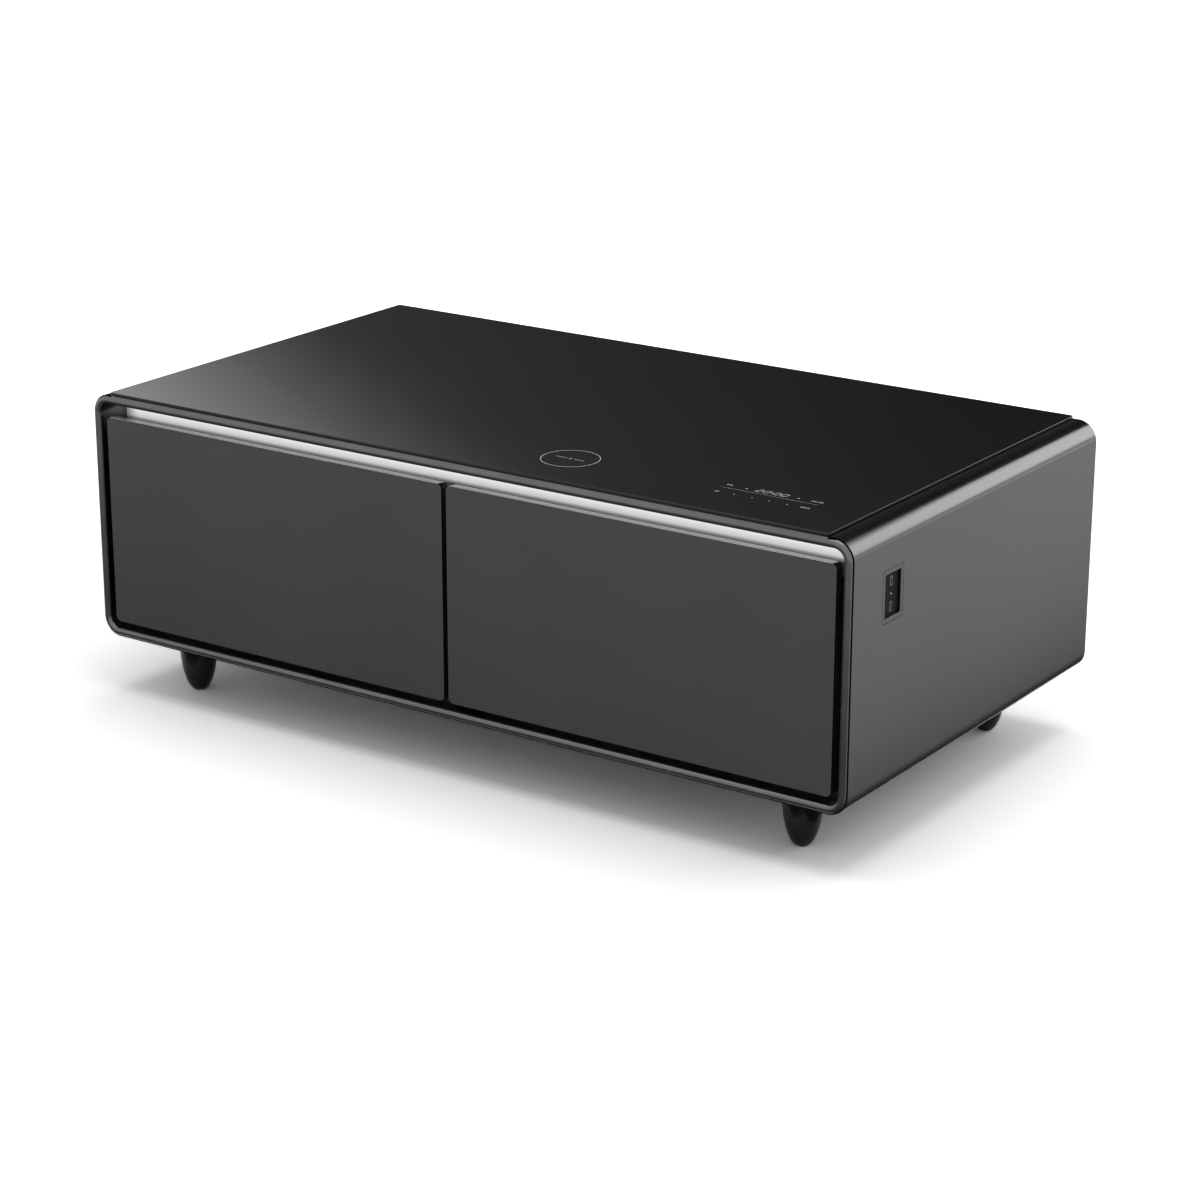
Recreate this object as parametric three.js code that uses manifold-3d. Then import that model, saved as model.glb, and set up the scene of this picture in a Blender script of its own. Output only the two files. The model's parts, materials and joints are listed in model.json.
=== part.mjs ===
// Low coffee table with two refrigerated drawers, in millimetres.
// The table stands on z = 0, x runs from left to right, and the drawers open towards -y.
import * as THREE from "three";
import { mergeVertices } from "three/addons/utils/BufferGeometryUtils.js";
import Module from "manifold-3d";

const wasm = await Module();
wasm.setup();

// Overall sizes
const tableWidth = 1300; // across the case
const tableDepth = 700; // from the front of the ring to the back edge of the case
const caseHeight = 378; // case alone, without feet and glass
const footHeight = 90; // floor to the underside of the case
const caseCorner = 30; // outer radius of the case's four long edges
const caseSheet = 1.5; // steel sheet of the case
const seat = 0.3; // clearance between pieces that touch
const overrun = 2; // how far a cutting tool runs past what it cuts
const weld = 0.0001; // vertices closer than this are one

// Round steps
const caseSteps = 6; // steps of a rounded corner of the case and what lines it
const cornerSteps = 4; // steps of any other rounded corner
const sealSteps = 2; // steps of a seal's corner
const roundSides = 16; // sides of a turned piece
const smallSides = 8; // sides of a small hole or rod
const tubeSides = 6; // sides of a pipe
const returnSteps = 4; // steps of a pipe's half turn

// Front ring
const ringBand = 14; // width of the ring, seen from the front
const ringProud = 5; // how far the ring stands before the case
const ringSpigot = 15; // how far the ring reaches into the case
const ringWall = 2.5; // wall of the ring's sleeve
const ringNoseSteps = 6; // steps of its half round nose

// Drawer fronts
const frontSetback = 4; // drawer front behind the ring's nose
const frontGapSide = 11; // ring to drawer front, left and right
const frontGapBottom = 10.8; // ring to drawer front, below
const frontGapMiddle = 8; // between the two drawer fronts
const lightOpening = 20; // drawer front to ring, above: the finger slot
const frontCorner = 8; // corner radius of a drawer front
const frontGlass = 4; // thickness of its glass
const lipThickness = 16; // glass and upstand at the finger pull
const pullDepth = 26; // depth of the finger trough behind the lip
const pullRadius = 10; // hollow radius at the foot of the lip
const lipRound = 2; // rounding of the lip's top edges
const faceSetback = 60; // ring's nose to the face of the cold cabinet

// Door seal
const gasketThickness = 7.6;
const gasketWidth = 14;
const gasketInset = 6; // edge of the door to the seal
const gasketCorner = 8;
const gasketHead = 3; // magnet bulb that lies on the cabinet face
const gasketFoot = 2.4; // foot that lies on the door
const gasketWaist = 4; // how far the bellows draw in

// Cold cavities
const sideWall = 50; // case side to cavity
const mullionWidth = 58; // cavity to cavity
const floorWall = 50; // case underside to cavity
const roofWall = 85; // cavity to the case top
const machineDepth = 155; // rear foam to the case's back flange: the machine compartment
const cavityCorner = 12;
const linerWall = 2;
const linerFlangeInset = 8; // edge of the liner's flange inside the case outline
const mullionLap = 1; // liner flange on the mullion side
const rearFoam = 45; // foam behind the cavities
const bayHeight = 38; // electronics bay between foam and case top
const stripSheet = 1.2; // mullion strip
const stripReturn = 20; // its folded sides

// Drawer tubs
const tubLift = 8; // tub above the cavity floor
const tubHeadroom = 21; // tub's rim below the cavity's roof
const tubBackGap = 10; // tub to the cold plate's channel
const tubWall = 3;
const tubCorner = 22;
const tubDraft = 9; // how much narrower each side is at the bottom
const tubRim = 5; // width of the rim beyond the wall
const tubRimHeight = 5;
const tubRibs = 5; // ribs under the floor inside
const tubRibHeight = 2.5;
const tubRibWidth = 6;

// Telescopic runners
const runnerWidth = 12.7;
const runnerHeight = 45;
const runnerBackGap = 26; // runner's rear end to the cavity's back
const runnerSheet = 1.2;
const runnerLip = 5; // depth of the drawer member's turned edge
const runnerFrontInset = 4; // runner's front end behind the cabinet face
const runnerDrop = 40; // tub rim to the top of the runner
const runnerBend = 1.6; // bend radius of its sheet, at the middle of the sheet
const raceBow = 0.5; // depth of the hollow that the balls run in
const ballSize = 2.6; // race between two members
const ballCount = 2; // balls in each race
const ballInset = 50; // outermost balls inside the ends of the runner
const ballSides = 6;
const bendSteps = 2; // steps of a bend of its sheet
const raceSteps = 4; // steps across a bowed race
const mitreShare = 0.5; // least share of the sheet that a bend's corner keeps

// Light above the drawers
const lightDrop = 26; // case top to the light band
const lightHeight = 20;
const lightDepth = 14;
const lightShelf = 3.5; // channel floor
const lightWall = 2;
const lightFaceDrop = 11; // case top to the channel's face
const lightEndInset = 10; // channel end inside the case side
const diffuserThickness = 2.5;
const ledBoardThickness = 1.6;
const ledMargin = 2;

// Glass top
const glassThickness = 4;
const glassInsetSide = 36;
const glassInsetFront = 1;
const glassInsetBack = 3.6;
const glassCorner = 5;
const glassEdge = 0.8; // ground edge
const padThickness = 0.7;
const padInset = 6;

// Electronics under the glass
const chargerFromSide = 502;
const chargerFromFront = 98;
const chargerWindow = 39; // radius of the hole in the case top
const chargerLip = 7; // how far its flange reaches past the hole
const chargerFlangeThickness = 2.5;
const chargerCoilInner = 12;
const displayFromSide = 185;
const displayFromFront = 98;
const displayLength = 170;
const displayWidth = 46;
const boardMargin = 10;
const boardThickness = 1.6;
const displayBlock = 5; // depth of the parts under the board
const windowCorner = 4;

// Side socket panel
const usbFromFront = 81.5;
const usbWidth = 54;
const usbBottom = 244; // above the case underside
const usbHeight = 73;
const usbCorner = 3;
const usbRim = 6.5; // width of the bezel's rim
const usbRecess = 4; // depth of the recess
const usbBody = 26; // depth of the module behind the recess
const usbBodyInset = 4; // module inside the bezel's outline
const portHeight = 12.6;
const portWidth = 5.2;
const portDepth = 12;
const portOffset = 17.5; // centre of a port above and below the middle
const portTongue = 1.8;
const portTongueHeight = 10.4;
const portTongueDepth = 9;
const portTongueShift = 0.8;

// Feet
const footRadius = 29;
const footInsetSide = 114;
const footInsetFront = 86;
const footTipCut = 3; // the egg's tip that is cut flat
const footFullness = 2.4; // of the egg's curve, where 2 is an ellipse
const footSteps = 5;
const studRadius = 5;
const studLength = 18;

// Case back
const backRecess = 8; // rear panel inside the back edge
const backFlange = 16; // flange that carries the panel, from the outline
const panelSheet = 1.2;
const louvreLength = 160;
const louvrePitch = 24;
const louvreHeight = 7;
const louvreHood = 5;
const louvreRows = 8;
const louvreColumns = 2;
const louvreGap = 18;
const louvreBottom = 58; // above the case underside
const grilleRadius = 70;
const grillePitch = 14;
const grilleSlot = 6;

// Machine compartment
const ventWindowLength = 420;
const ventWindowWidth = 84;
const ventCorner = 15;
const baseSheet = 1.5;
const baseMargin = 22;
const ventSlots = 12;
const ventSlotWidth = 7;
const compressorX = -205;
const compressorLength = 190;
const compressorWidth = 132;
const compressorHeight = 158;
const compressorSeam = 4;
const compressorSkirt = 10; // from its mounting plate to the lower dome
// Shares of a dome's radius and depth, from its crown out
const domeShares = [
  [0.62, 0.08],
  [0.84, 0.29],
  [0.96, 0.62],
  [1, 1],
];
const grommetHeight = 12;
const grommetRadius = 11;
const grommetHole = 4;
const compressorFoot = 3;
const compressorEar = 14;
const condenserX = 190;
const condenserLength = 230;
const condenserHeight = 190;
const condenserDepth = 44;
const condenserFins = 8;
const finThickness = 1.2;
const coilRadius = 4;
const coilRows = 4;
const shroudDepth = 30;
const shroudWall = 2.5;
const shroudCorner = 4;
const fanRadius = 72;
const fanClearance = 3;
const hubRadius = 21;
const hubCap = 2.5; // end wall of the hub
const bladeCount = 5;
const bladeThickness = 2;
const bladeTwist = 0.6; // radians between the plane of the fan and a blade
const bladeTaperShare = 0.15; // of the chord, lost at the tip
const bladeFlattenShare = 0.35; // of the twist, lost at the tip
const bladeSections = 4;
const motorRadius = 24;
const motorDepth = 22;
const shaftRadius = 2.5;
const strutWidth = 7;
const strutCount = 3;
const pipeRadius = 3.2;
const pipeSteps = 8;
const drierRadius = 9;
const drierLength = 74;
const drierX = 0;
const drierDrop = 24; // condenser outlet to the drier's top
const pipeStraight = 10; // straight end of a pipe before it bends
// Shares of the discharge pipe's way along x, y and z, from the compressor to the condenser
const dischargeShares = [
  [0, 0, 0],
  [0.12, 0, 0],
  [0.33, 0, 0.5],
  [0.67, 1, 1],
  [0.88, 1, 1],
  [1, 1, 1],
];
const trayHeight = 24;
const trayWall = 2;
const controlGap = 30; // control box to the compressor
const controlLength = 150;
const controlWidth = 96;
const controlHeight = 62;
const controlCorner = 6;
const controlRibs = 7;
const controlRibWidth = 2;
const controlRibHeight = 4;
const inletFromSide = 105;
const inletUp = 52; // centre above the case underside
const inletEar = 9.8; // its flange past the body, left and right
const inletLip = 1; // its flange past the body, above and below
const inletMouthLength = 24.4;
const inletMouthHeight = 17;
const inletDepth = 17;
const inletWall = 2;
const inletFlange = 2.2;
const inletCorner = 2;
const inletFlangeCorner = 4;
const pinLength = 13;
const pinWidth = 4;
const pinThickness = 2;
const pinSpread = 7;
const pinDrop = 2;

// Cold plates
const plateThickness = 1.5;
const plateMargin = 60;
const channelRadius = 3.5;
const channelRuns = 3;
const channelMargin = 28;

// Places worked out from the sizes
const halfWidth = tableWidth / 2;
const frontY = -tableDepth / 2;
const backY = tableDepth / 2;
const caseBottom = footHeight;
const caseTop = caseBottom + caseHeight;
const caseFront = frontY + ringProud;
const faceY = frontY + faceSetback;
const doorOuter = halfWidth - ringBand - frontGapSide;
const doorInner = frontGapMiddle / 2;
const doorBottom = caseBottom + ringBand + frontGapBottom;
const doorTop = caseTop - ringBand - lightOpening;
const doorCoreTop = doorTop - pullDepth;
const glassFront = frontY + frontSetback;
const doorFront = glassFront + frontGlass + seat;
const lipBack = glassFront + lipThickness;
const doorBack = faceY - gasketThickness - 2 * seat;
const cavityOuter = halfWidth - sideWall;
const cavityInner = mullionWidth / 2;
const cavityBottom = caseBottom + floorWall;
const cavityTop = caseTop - roofWall;
const flangeBack = backY - backRecess;
const foamBack = flangeBack - machineDepth;
const cavityBack = foamBack - rearFoam - linerWall;
const foamTop = caseTop - bayHeight;
const tubBottom = cavityBottom + tubLift;
const tubTop = cavityTop - tubHeadroom;
const tubFront = doorBack + seat;
const tubBack = cavityBack - seat - plateThickness / 2 - 2 * channelRadius - tubBackGap;
const runnerTop = tubTop - runnerDrop;
const runnerMiddle = runnerTop - runnerHeight / 2;
const runnerFront = faceY + runnerFrontInset;
const lightZ = [caseTop - lightDrop - lightHeight, caseTop - lightDrop];
const channelBottom = lightZ[0] - lightShelf;
const glassBottom = caseTop + padThickness + 2 * seat;
const footX = halfWidth - footInsetSide;
const footY = tableDepth / 2 - footInsetFront;
const panelFront = flangeBack + seat;
const baseTop = caseBottom + caseSheet + seat + baseSheet;
const machineMiddleY = (foamBack + flangeBack) / 2;
const controlX = compressorX - compressorLength / 2 - controlGap - controlLength / 2;
const inletX = -halfWidth + inletFromSide;
const chargerX = halfWidth - chargerFromSide;
const chargerY = frontY + chargerFromFront;
const displayX = halfWidth - displayFromSide;
const displayY = frontY + displayFromFront;
const usbMiddleY = frontY + usbFromFront + usbWidth / 2;
const usbMiddleZ = caseBottom + usbBottom + usbHeight / 2;

// Closed solid from a three.js geometry, turned round if it faces inwards
function solidOf(geometry) {
  const plain = geometry.index ? geometry.toNonIndexed() : geometry.clone();
  plain.deleteAttribute("normal");
  plain.deleteAttribute("uv");
  const merged = mergeVertices(plain, weld);
  const index = merged.index.array;
  const faces = [];
  for (let i = 0; i < index.length; i += 3) {
    const [a, b, c] = [index[i], index[i + 1], index[i + 2]];
    if (a !== b && b !== c && c !== a) faces.push(a, b, c);
  }
  const made = manifoldOf(merged.attributes.position.array, faces);
  return made.volume() < 0 ? manifoldOf(merged.attributes.position.array, faces.reverse()) : made;
}

function manifoldOf(vertProperties, faces) {
  return new wasm.Manifold(new wasm.Mesh({ numProp: 3, vertProperties, triVerts: new Uint32Array(faces) }));
}

function geometryOf(solid) {
  const made = solid.getMesh();
  const geometry = new THREE.BufferGeometry();
  geometry.setAttribute("position", new THREE.BufferAttribute(new Float32Array(made.vertProperties), 3));
  geometry.setIndex(new THREE.BufferAttribute(new Uint32Array(made.triVerts), 1));
  geometry.computeVertexNormals();
  return geometry;
}

function joined(solids) {
  return solids.reduce((whole, solid) => whole.add(solid));
}

function cut(solid, tools) {
  return tools.reduce((rest, tool) => rest.subtract(tool), solid);
}

// Pair of ends in rising order, on the left (-1) or right (1) half of the table
function span(side, a, b) {
  return side < 0 ? [-b, -a] : [a, b];
}

function shrunk(pair, inset) {
  return [pair[0] + inset, pair[1] - inset];
}

function middle(pair) {
  return (pair[0] + pair[1]) / 2;
}

function block(x, y, z) {
  const geometry = new THREE.BoxGeometry(x[1] - x[0], y[1] - y[0], z[1] - z[0]);
  return solidOf(geometry.translate(middle(x), middle(y), middle(z)));
}

// Directions that a drawn outline's right, up and depth take, by the axis that the outline is pushed along
const outlineAxes = {
  x: [new THREE.Vector3(0, 1, 0), new THREE.Vector3(0, 0, 1), new THREE.Vector3(1, 0, 0)],
  y: [new THREE.Vector3(1, 0, 0), new THREE.Vector3(0, 0, 1), new THREE.Vector3(0, -1, 0)],
  z: [new THREE.Vector3(1, 0, 0), new THREE.Vector3(0, 1, 0), new THREE.Vector3(0, 0, 1)],
};

// Outline pushed along an axis from one end to the other
function prism(shape, ends, axis, arcSteps = cornerSteps) {
  const depth = ends[1] - ends[0];
  const curveSegments = arcSteps / 2; // an arc gets twice this many steps
  const geometry = new THREE.ExtrudeGeometry(shape, { depth, bevelEnabled: false, curveSegments });
  geometry.applyMatrix4(new THREE.Matrix4().makeBasis(...outlineAxes[axis]));
  const start = axis === "y" ? ends[1] : ends[0];
  return solidOf(geometry.translate(...["x", "y", "z"].map((name) => (name === axis ? start : 0))));
}

function roundedShape(u, v, radius) {
  const shape = new THREE.Shape();
  shape.absarc(u[1] - radius, v[0] + radius, radius, -Math.PI / 2, 0);
  shape.absarc(u[1] - radius, v[1] - radius, radius, 0, Math.PI / 2);
  shape.absarc(u[0] + radius, v[1] - radius, radius, Math.PI / 2, Math.PI);
  shape.absarc(u[0] + radius, v[0] + radius, radius, Math.PI, 1.5 * Math.PI);
  return shape;
}

function polygonShape(points) {
  return new THREE.Shape(points.map(([u, v]) => new THREE.Vector2(u, v)));
}

function rod(radius, centre, ends, axis, sides = smallSides) {
  const shape = new THREE.Shape().absarc(centre[0], centre[1], radius, 0, 2 * Math.PI);
  return prism(shape, ends, axis, sides);
}

// Points of a rounded rectangle, as pairs, from the lower right corner round to the lower left
function outline(u, v, radius, steps) {
  const radii = Array.isArray(radius) ? radius : [radius, radius, radius, radius];
  const corners = [
    [u[1] - radii[0], v[0] + radii[0]],
    [u[1] - radii[1], v[1] - radii[1]],
    [u[0] + radii[2], v[1] - radii[2]],
    [u[0] + radii[3], v[0] + radii[3]],
  ];
  return corners.flatMap(([cu, cv], corner) =>
    Array.from({ length: steps + 1 }, (_, i) => {
      const angle = (Math.PI / 2) * (corner - 1 + i / steps);
      return [cu + radii[corner] * Math.cos(angle), cv + radii[corner] * Math.sin(angle)];
    }),
  );
}

// Skin over a row of outlines with the same number of corners: a closed loop, or capped at both ends
function skin(rings, closed) {
  const count = rings[0].length;
  const faces = [];
  const steps = closed ? rings.length : rings.length - 1;
  for (let i = 0; i < steps; i++) {
    const here = i * count;
    const next = ((i + 1) % rings.length) * count;
    for (let j = 0; j < count; j++) {
      const k = (j + 1) % count;
      faces.push(here + j, here + k, next + k, here + j, next + k, next + j);
    }
  }
  const last = (rings.length - 1) * count;
  for (let j = 1; !closed && j < count - 1; j++) {
    faces.push(0, j + 1, j, last, last + j, last + j + 1);
  }
  const geometry = new THREE.BufferGeometry();
  geometry.setAttribute("position", new THREE.Float32BufferAttribute(rings.flat(2), 3));
  geometry.setIndex(faces);
  return solidOf(geometry);
}

// Rounded rectangle in the plane that faces the front, at a depth y
function standing(x, z, radius, y, steps = cornerSteps) {
  return outline(x, z, radius, steps).map(([u, v]) => [u, y, v]);
}

// Rounded rectangle in a level plane, at a height z
function lying(x, y, radius, z) {
  return outline(x, y, radius, cornerSteps).map(([u, v]) => [u, v, z]);
}

// Section carried round a standing rectangle: each section point is an inset from the outline and a depth
function frameRound(x, z, radius, section, steps) {
  const ring = ([inset, y]) => {
    const corner = Math.max(radius - inset, caseSheet);
    return standing(shrunk(x, inset), shrunk(z, inset), corner, y, steps);
  };
  return skin(section.map(ring), true);
}

// Turned piece: a profile of radius and height that starts and ends on the axis
function turned(profile, sides) {
  const geometry = new THREE.LatheGeometry(profile.map(([r, h]) => new THREE.Vector2(r, h)), sides);
  return geometry.rotateX(Math.PI / 2);
}

function tube(points, radius, steps) {
  const corners = points.map((point) => new THREE.Vector3(...point));
  const extrudePath = new THREE.CatmullRomCurve3(corners, false, "centripetal");
  const shape = new THREE.Shape().absarc(0, 0, radius, 0, 2 * Math.PI);
  return solidOf(new THREE.ExtrudeGeometry(shape, { steps, extrudePath, curveSegments: tubeSides / 2 }));
}

// Finishes
function finish(color, roughness, metalness) {
  return new THREE.MeshStandardMaterial({ color, roughness, metalness });
}
const finishes = {
  case_paint: finish(0x5c5c60, 0.42, 0.3),
  ring_paint: finish(0x4c4c4e, 0.4, 0.3),
  top_glass: finish(0x0b0b0c, 0.08, 0),
  front_glass: finish(0x3c3c3d, 0.15, 0),
  black_paint: finish(0x121213, 0.45, 0.3),
  black_plastic: finish(0x101011, 0.5, 0),
  foot_gloss: finish(0x0d0d0e, 0.2, 0),
  liner_white: finish(0xe4e6e6, 0.45, 0),
  tub_plastic: finish(0xd8dbdc, 0.35, 0),
  foam: finish(0xd9c98c, 0.9, 0),
  gasket_rubber: finish(0x2a2a2b, 0.8, 0),
  zinc_steel: finish(0xa9abac, 0.4, 0.9),
  aluminium: finish(0xc2c4c6, 0.4, 0.9),
  copper: finish(0xb06a3c, 0.3, 0.9),
  compressor_paint: finish(0x161617, 0.35, 0.2),
  diffuser: finish(0xf4f6f7, 0.5, 0),
  circuit_board: finish(0x1d4a2c, 0.5, 0),
  bezel_plastic: finish(0x4e4e50, 0.5, 0),
  grommet_rubber: finish(0x1c1c1c, 0.9, 0),
};

const table = new THREE.Group();
function add(name, solid, slot) {
  const mesh = new THREE.Mesh(geometryOf(solid), finishes[slot]);
  mesh.name = name;
  table.add(mesh);
}

const fullX = [-halfWidth, halfWidth];
const fullZ = [caseBottom, caseTop];
const footPlaces = [
  ["front_left", -1, -1],
  ["front_right", 1, -1],
  ["rear_left", -1, 1],
  ["rear_right", 1, 1],
];

// Case: one folded sheet tube with a flange for the rear panel
function caseWrap() {
  const section = [
    [0, caseFront],
    [0, backY],
    [caseSheet, backY],
    [caseSheet, flangeBack],
    [backFlange, flangeBack],
    [backFlange, flangeBack - caseSheet],
    [caseSheet, flangeBack - caseSheet],
    [caseSheet, caseFront],
  ];
  const throughTop = [caseTop - caseSheet - overrun, caseTop + overrun];
  const throughBottom = [caseBottom - overrun, caseBottom + caseSheet + overrun];
  const tools = [
    rod(chargerWindow, [chargerX, chargerY], throughTop, "z", roundSides),
    prism(displayWindow(0), throughTop, "z"),
    prism(usbShape(-seat), [halfWidth - caseSheet - overrun, halfWidth + overrun], "x"),
    prism(ventShape(), throughBottom, "z"),
  ];
  for (const [, sideX, sideY] of footPlaces) {
    tools.push(rod(studRadius + seat, [sideX * footX, sideY * footY], throughBottom, "z", roundSides));
  }
  return cut(frameRound(fullX, fullZ, caseCorner, section, caseSteps), tools);
}

function displayWindow(margin) {
  const x = [displayX - displayLength / 2 - margin, displayX + displayLength / 2 + margin];
  const y = [displayY - displayWidth / 2 - margin, displayY + displayWidth / 2 + margin];
  return roundedShape(x, y, windowCorner);
}

function usbShape(inset) {
  const y = [usbMiddleY - usbWidth / 2 + inset, usbMiddleY + usbWidth / 2 - inset];
  const z = [usbMiddleZ - usbHeight / 2 + inset, usbMiddleZ + usbHeight / 2 - inset];
  return roundedShape(y, z, usbCorner);
}

function ventShape() {
  const x = [-ventWindowLength / 2, ventWindowLength / 2];
  const y = [machineMiddleY - ventWindowWidth / 2, machineMiddleY + ventWindowWidth / 2];
  return roundedShape(x, y, ventCorner);
}

// Front ring: half round nose, a spigot inside the case and a sleeve back to the cold cabinet
function frontFrame() {
  const outer = caseSheet + seat;
  const noseRadius = (ringBand - outer) / 2;
  const nose = Array.from({ length: ringNoseSteps + 1 }, (_, i) => {
    const angle = Math.PI * (1 - i / ringNoseSteps);
    return [outer + noseRadius * (1 + Math.cos(angle)), frontY + noseRadius * (1 - Math.sin(angle))];
  });
  const section = [
    [outer, caseFront + ringSpigot],
    ...nose,
    [ringBand, faceY - seat],
    [ringBand - ringWall, faceY - seat],
    [ringBand - ringWall, caseFront + ringWall + seat],
    [outer + ringWall, caseFront + ringWall + seat],
    [outer + ringWall, caseFront + ringSpigot],
  ];
  return frameRound(fullX, fullZ, caseCorner, section, caseSteps);
}

// Rear panel: pressed louvres over the machine compartment and a round grille behind the fan
function rearPanel() {
  const inset = caseSheet + seat;
  const shape = roundedShape(
    [-halfWidth + inset, halfWidth - inset],
    [caseBottom + inset, caseTop - inset],
    caseCorner - inset,
  );
  const panelBack = panelFront + panelSheet;
  const through = [panelFront - overrun, panelBack + overrun];
  const tools = [prism(inletShape(-seat, inletMouthLength, inletMouthHeight), through, "y")];
  const hoods = [];
  const bankWidth = louvreColumns * louvreLength + (louvreColumns - 1) * louvreGap;
  for (let column = 0; column < louvreColumns; column++) {
    const start = compressorX - bankWidth / 2 + column * (louvreLength + louvreGap);
    const x = [start, start + louvreLength];
    for (let row = 0; row < louvreRows; row++) {
      const z = caseBottom + louvreBottom + row * louvrePitch;
      tools.push(block(x, through, [z, z + louvreHeight]));
      hoods.push(louvreHoodOver(x, z + louvreHeight, panelBack));
    }
  }
  const slotCount = Math.floor(grilleRadius / grillePitch);
  for (let row = -slotCount; row <= slotCount; row++) {
    const z = condenserMiddleZ() + row * grillePitch;
    const half = Math.sqrt(grilleRadius ** 2 - (row * grillePitch) ** 2);
    if (half < grillePitch) continue;
    const x = [condenserX - half, condenserX + half];
    const slot = roundedShape(x, [z - grilleSlot / 2, z + grilleSlot / 2], grilleSlot / 2 - seat);
    tools.push(prism(slot, through, "y", 2));
  }
  return joined([cut(prism(shape, [panelFront, panelBack], "y", caseSteps), tools), ...hoods]);
}

// Hood that leans out from the top edge of a louvre
function louvreHoodOver(x, top, panelBack) {
  const points = [
    [panelBack - panelSheet / 2, top],
    [panelBack + louvreHood, top - louvreHeight],
    [panelBack + louvreHood, top - louvreHeight + panelSheet],
    [panelBack, top + 2 * panelSheet],
    [panelBack - panelSheet / 2, top + 2 * panelSheet],
  ];
  return prism(polygonShape(points), x, "x");
}

// Foam block that fills the case round the two cavities
function insulation() {
  const inset = caseSheet + seat;
  const shape = roundedShape(
    [-halfWidth + inset, halfWidth - inset],
    [caseBottom + inset, caseTop - inset],
    caseCorner - inset,
  );
  const front = faceY + linerWall + seat;
  const lightBack = faceY + lightDepth + lightWall + seat;
  const tools = [
    block(fullX, [frontY, backY], [foamTop, caseTop]),
    block(fullX, [frontY, lightBack], [channelBottom - seat, caseTop]),
    block(stripSpan(seat), [frontY, faceY + stripReturn + seat], [caseBottom, caseTop]),
    block(
      [halfWidth - caseSheet - usbRecess - usbBody - seat, tableWidth],
      [usbMiddleY - usbWidth / 2 - seat, usbMiddleY + usbWidth / 2 + seat],
      [usbMiddleZ - usbHeight / 2 - seat, usbMiddleZ + usbHeight / 2 + seat],
    ),
  ];
  for (const side of [-1, 1]) {
    const grown = linerWall + seat;
    const x = span(side, cavityInner - grown, cavityOuter + grown);
    const z = [cavityBottom - grown, cavityTop + grown];
    tools.push(prism(roundedShape(x, z, cavityCorner), [frontY, cavityBack + grown], "y"));
  }
  for (const [, sideX, sideY] of footPlaces) {
    const place = [sideX * footX, sideY * footY];
    tools.push(rod(studRadius + seat, place, [caseBottom, caseBottom + studLength + seat], "z", roundSides));
  }
  return cut(prism(shape, [front, foamBack], "y", caseSteps), tools);
}

function stripSpan(gap) {
  const half = cavityInner - linerWall - mullionLap - seat + gap;
  return [-half, half];
}

// Thermoformed liner of one cavity, an open box with a flange on the cabinet face
function liner(side) {
  const inner = span(side, cavityInner, cavityOuter);
  const outer = span(side, cavityInner - linerWall, cavityOuter + linerWall);
  const flange = span(side, cavityInner - linerWall - mullionLap, halfWidth - linerFlangeInset);
  const z = [cavityBottom, cavityTop];
  const outerZ = [cavityBottom - linerWall, cavityTop + linerWall];
  const flangeZ = [caseBottom + linerFlangeInset, channelBottom - seat];
  const caseSide = caseCorner - linerFlangeInset;
  const flangeRadii = [linerWall, linerWall, linerWall, linerWall];
  flangeRadii[side < 0 ? 3 : 0] = caseSide;
  return skin(
    [
      standing(inner, z, cavityCorner, cavityBack),
      standing(inner, z, cavityCorner, faceY),
      standing(flange, flangeZ, flangeRadii, faceY),
      standing(flange, flangeZ, flangeRadii, faceY + linerWall),
      standing(outer, outerZ, cavityCorner, faceY + linerWall),
      standing(outer, outerZ, cavityCorner, cavityBack + linerWall),
    ],
    false,
  );
}

// Steel strip between the two cavities, which the magnets of both seals grip
function mullionStrip() {
  const [low, high] = stripSpan(0);
  const back = faceY + stripReturn;
  const inside = faceY + stripSheet;
  const points = [
    [low, faceY],
    [high, faceY],
    [high, back],
    [high - stripSheet, back],
    [high - stripSheet, inside],
    [low + stripSheet, inside],
    [low + stripSheet, back],
    [low, back],
  ];
  return prism(polygonShape(points), [caseBottom + ringBand, channelBottom - seat], "z");
}

// Light channel over the drawers, its circuit strip and the opal cover
const lightX = [-halfWidth + lightEndInset, halfWidth - lightEndInset];

function lightChannel() {
  const back = faceY + lightDepth;
  const points = [
    [faceY, channelBottom],
    [back + lightWall, channelBottom],
    [back + lightWall, lightZ[1] + lightWall],
    [faceY + lightWall, lightZ[1] + lightWall],
    [faceY + lightWall, caseTop - lightFaceDrop],
    [faceY, caseTop - lightFaceDrop],
    [faceY, lightZ[1]],
    [back, lightZ[1]],
    [back, lightZ[0]],
    [faceY, lightZ[0]],
  ];
  return prism(polygonShape(points), lightX, "x");
}

function lightDiffuser() {
  const front = faceY + seat;
  return block(lightX, [front, front + diffuserThickness], shrunk(lightZ, seat));
}

function ledStrip() {
  const back = faceY + lightDepth - seat;
  return block(lightX, [back - ledBoardThickness, back], shrunk(lightZ, ledMargin));
}

// Glass top with ground edges, and the pad that it lies on
const glassX = [-halfWidth + glassInsetSide, halfWidth - glassInsetSide];
const glassY = [frontY + glassInsetFront, backY - glassInsetBack];

function glassTop() {
  const top = glassBottom + glassThickness;
  const level = (inset, z) => lying(shrunk(glassX, inset), shrunk(glassY, inset), glassCorner - inset, z);
  const rings = [
    level(glassEdge, glassBottom),
    level(0, glassBottom + glassEdge),
    level(0, top - glassEdge),
    level(glassEdge, top),
  ];
  return skin(rings, false);
}

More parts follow.
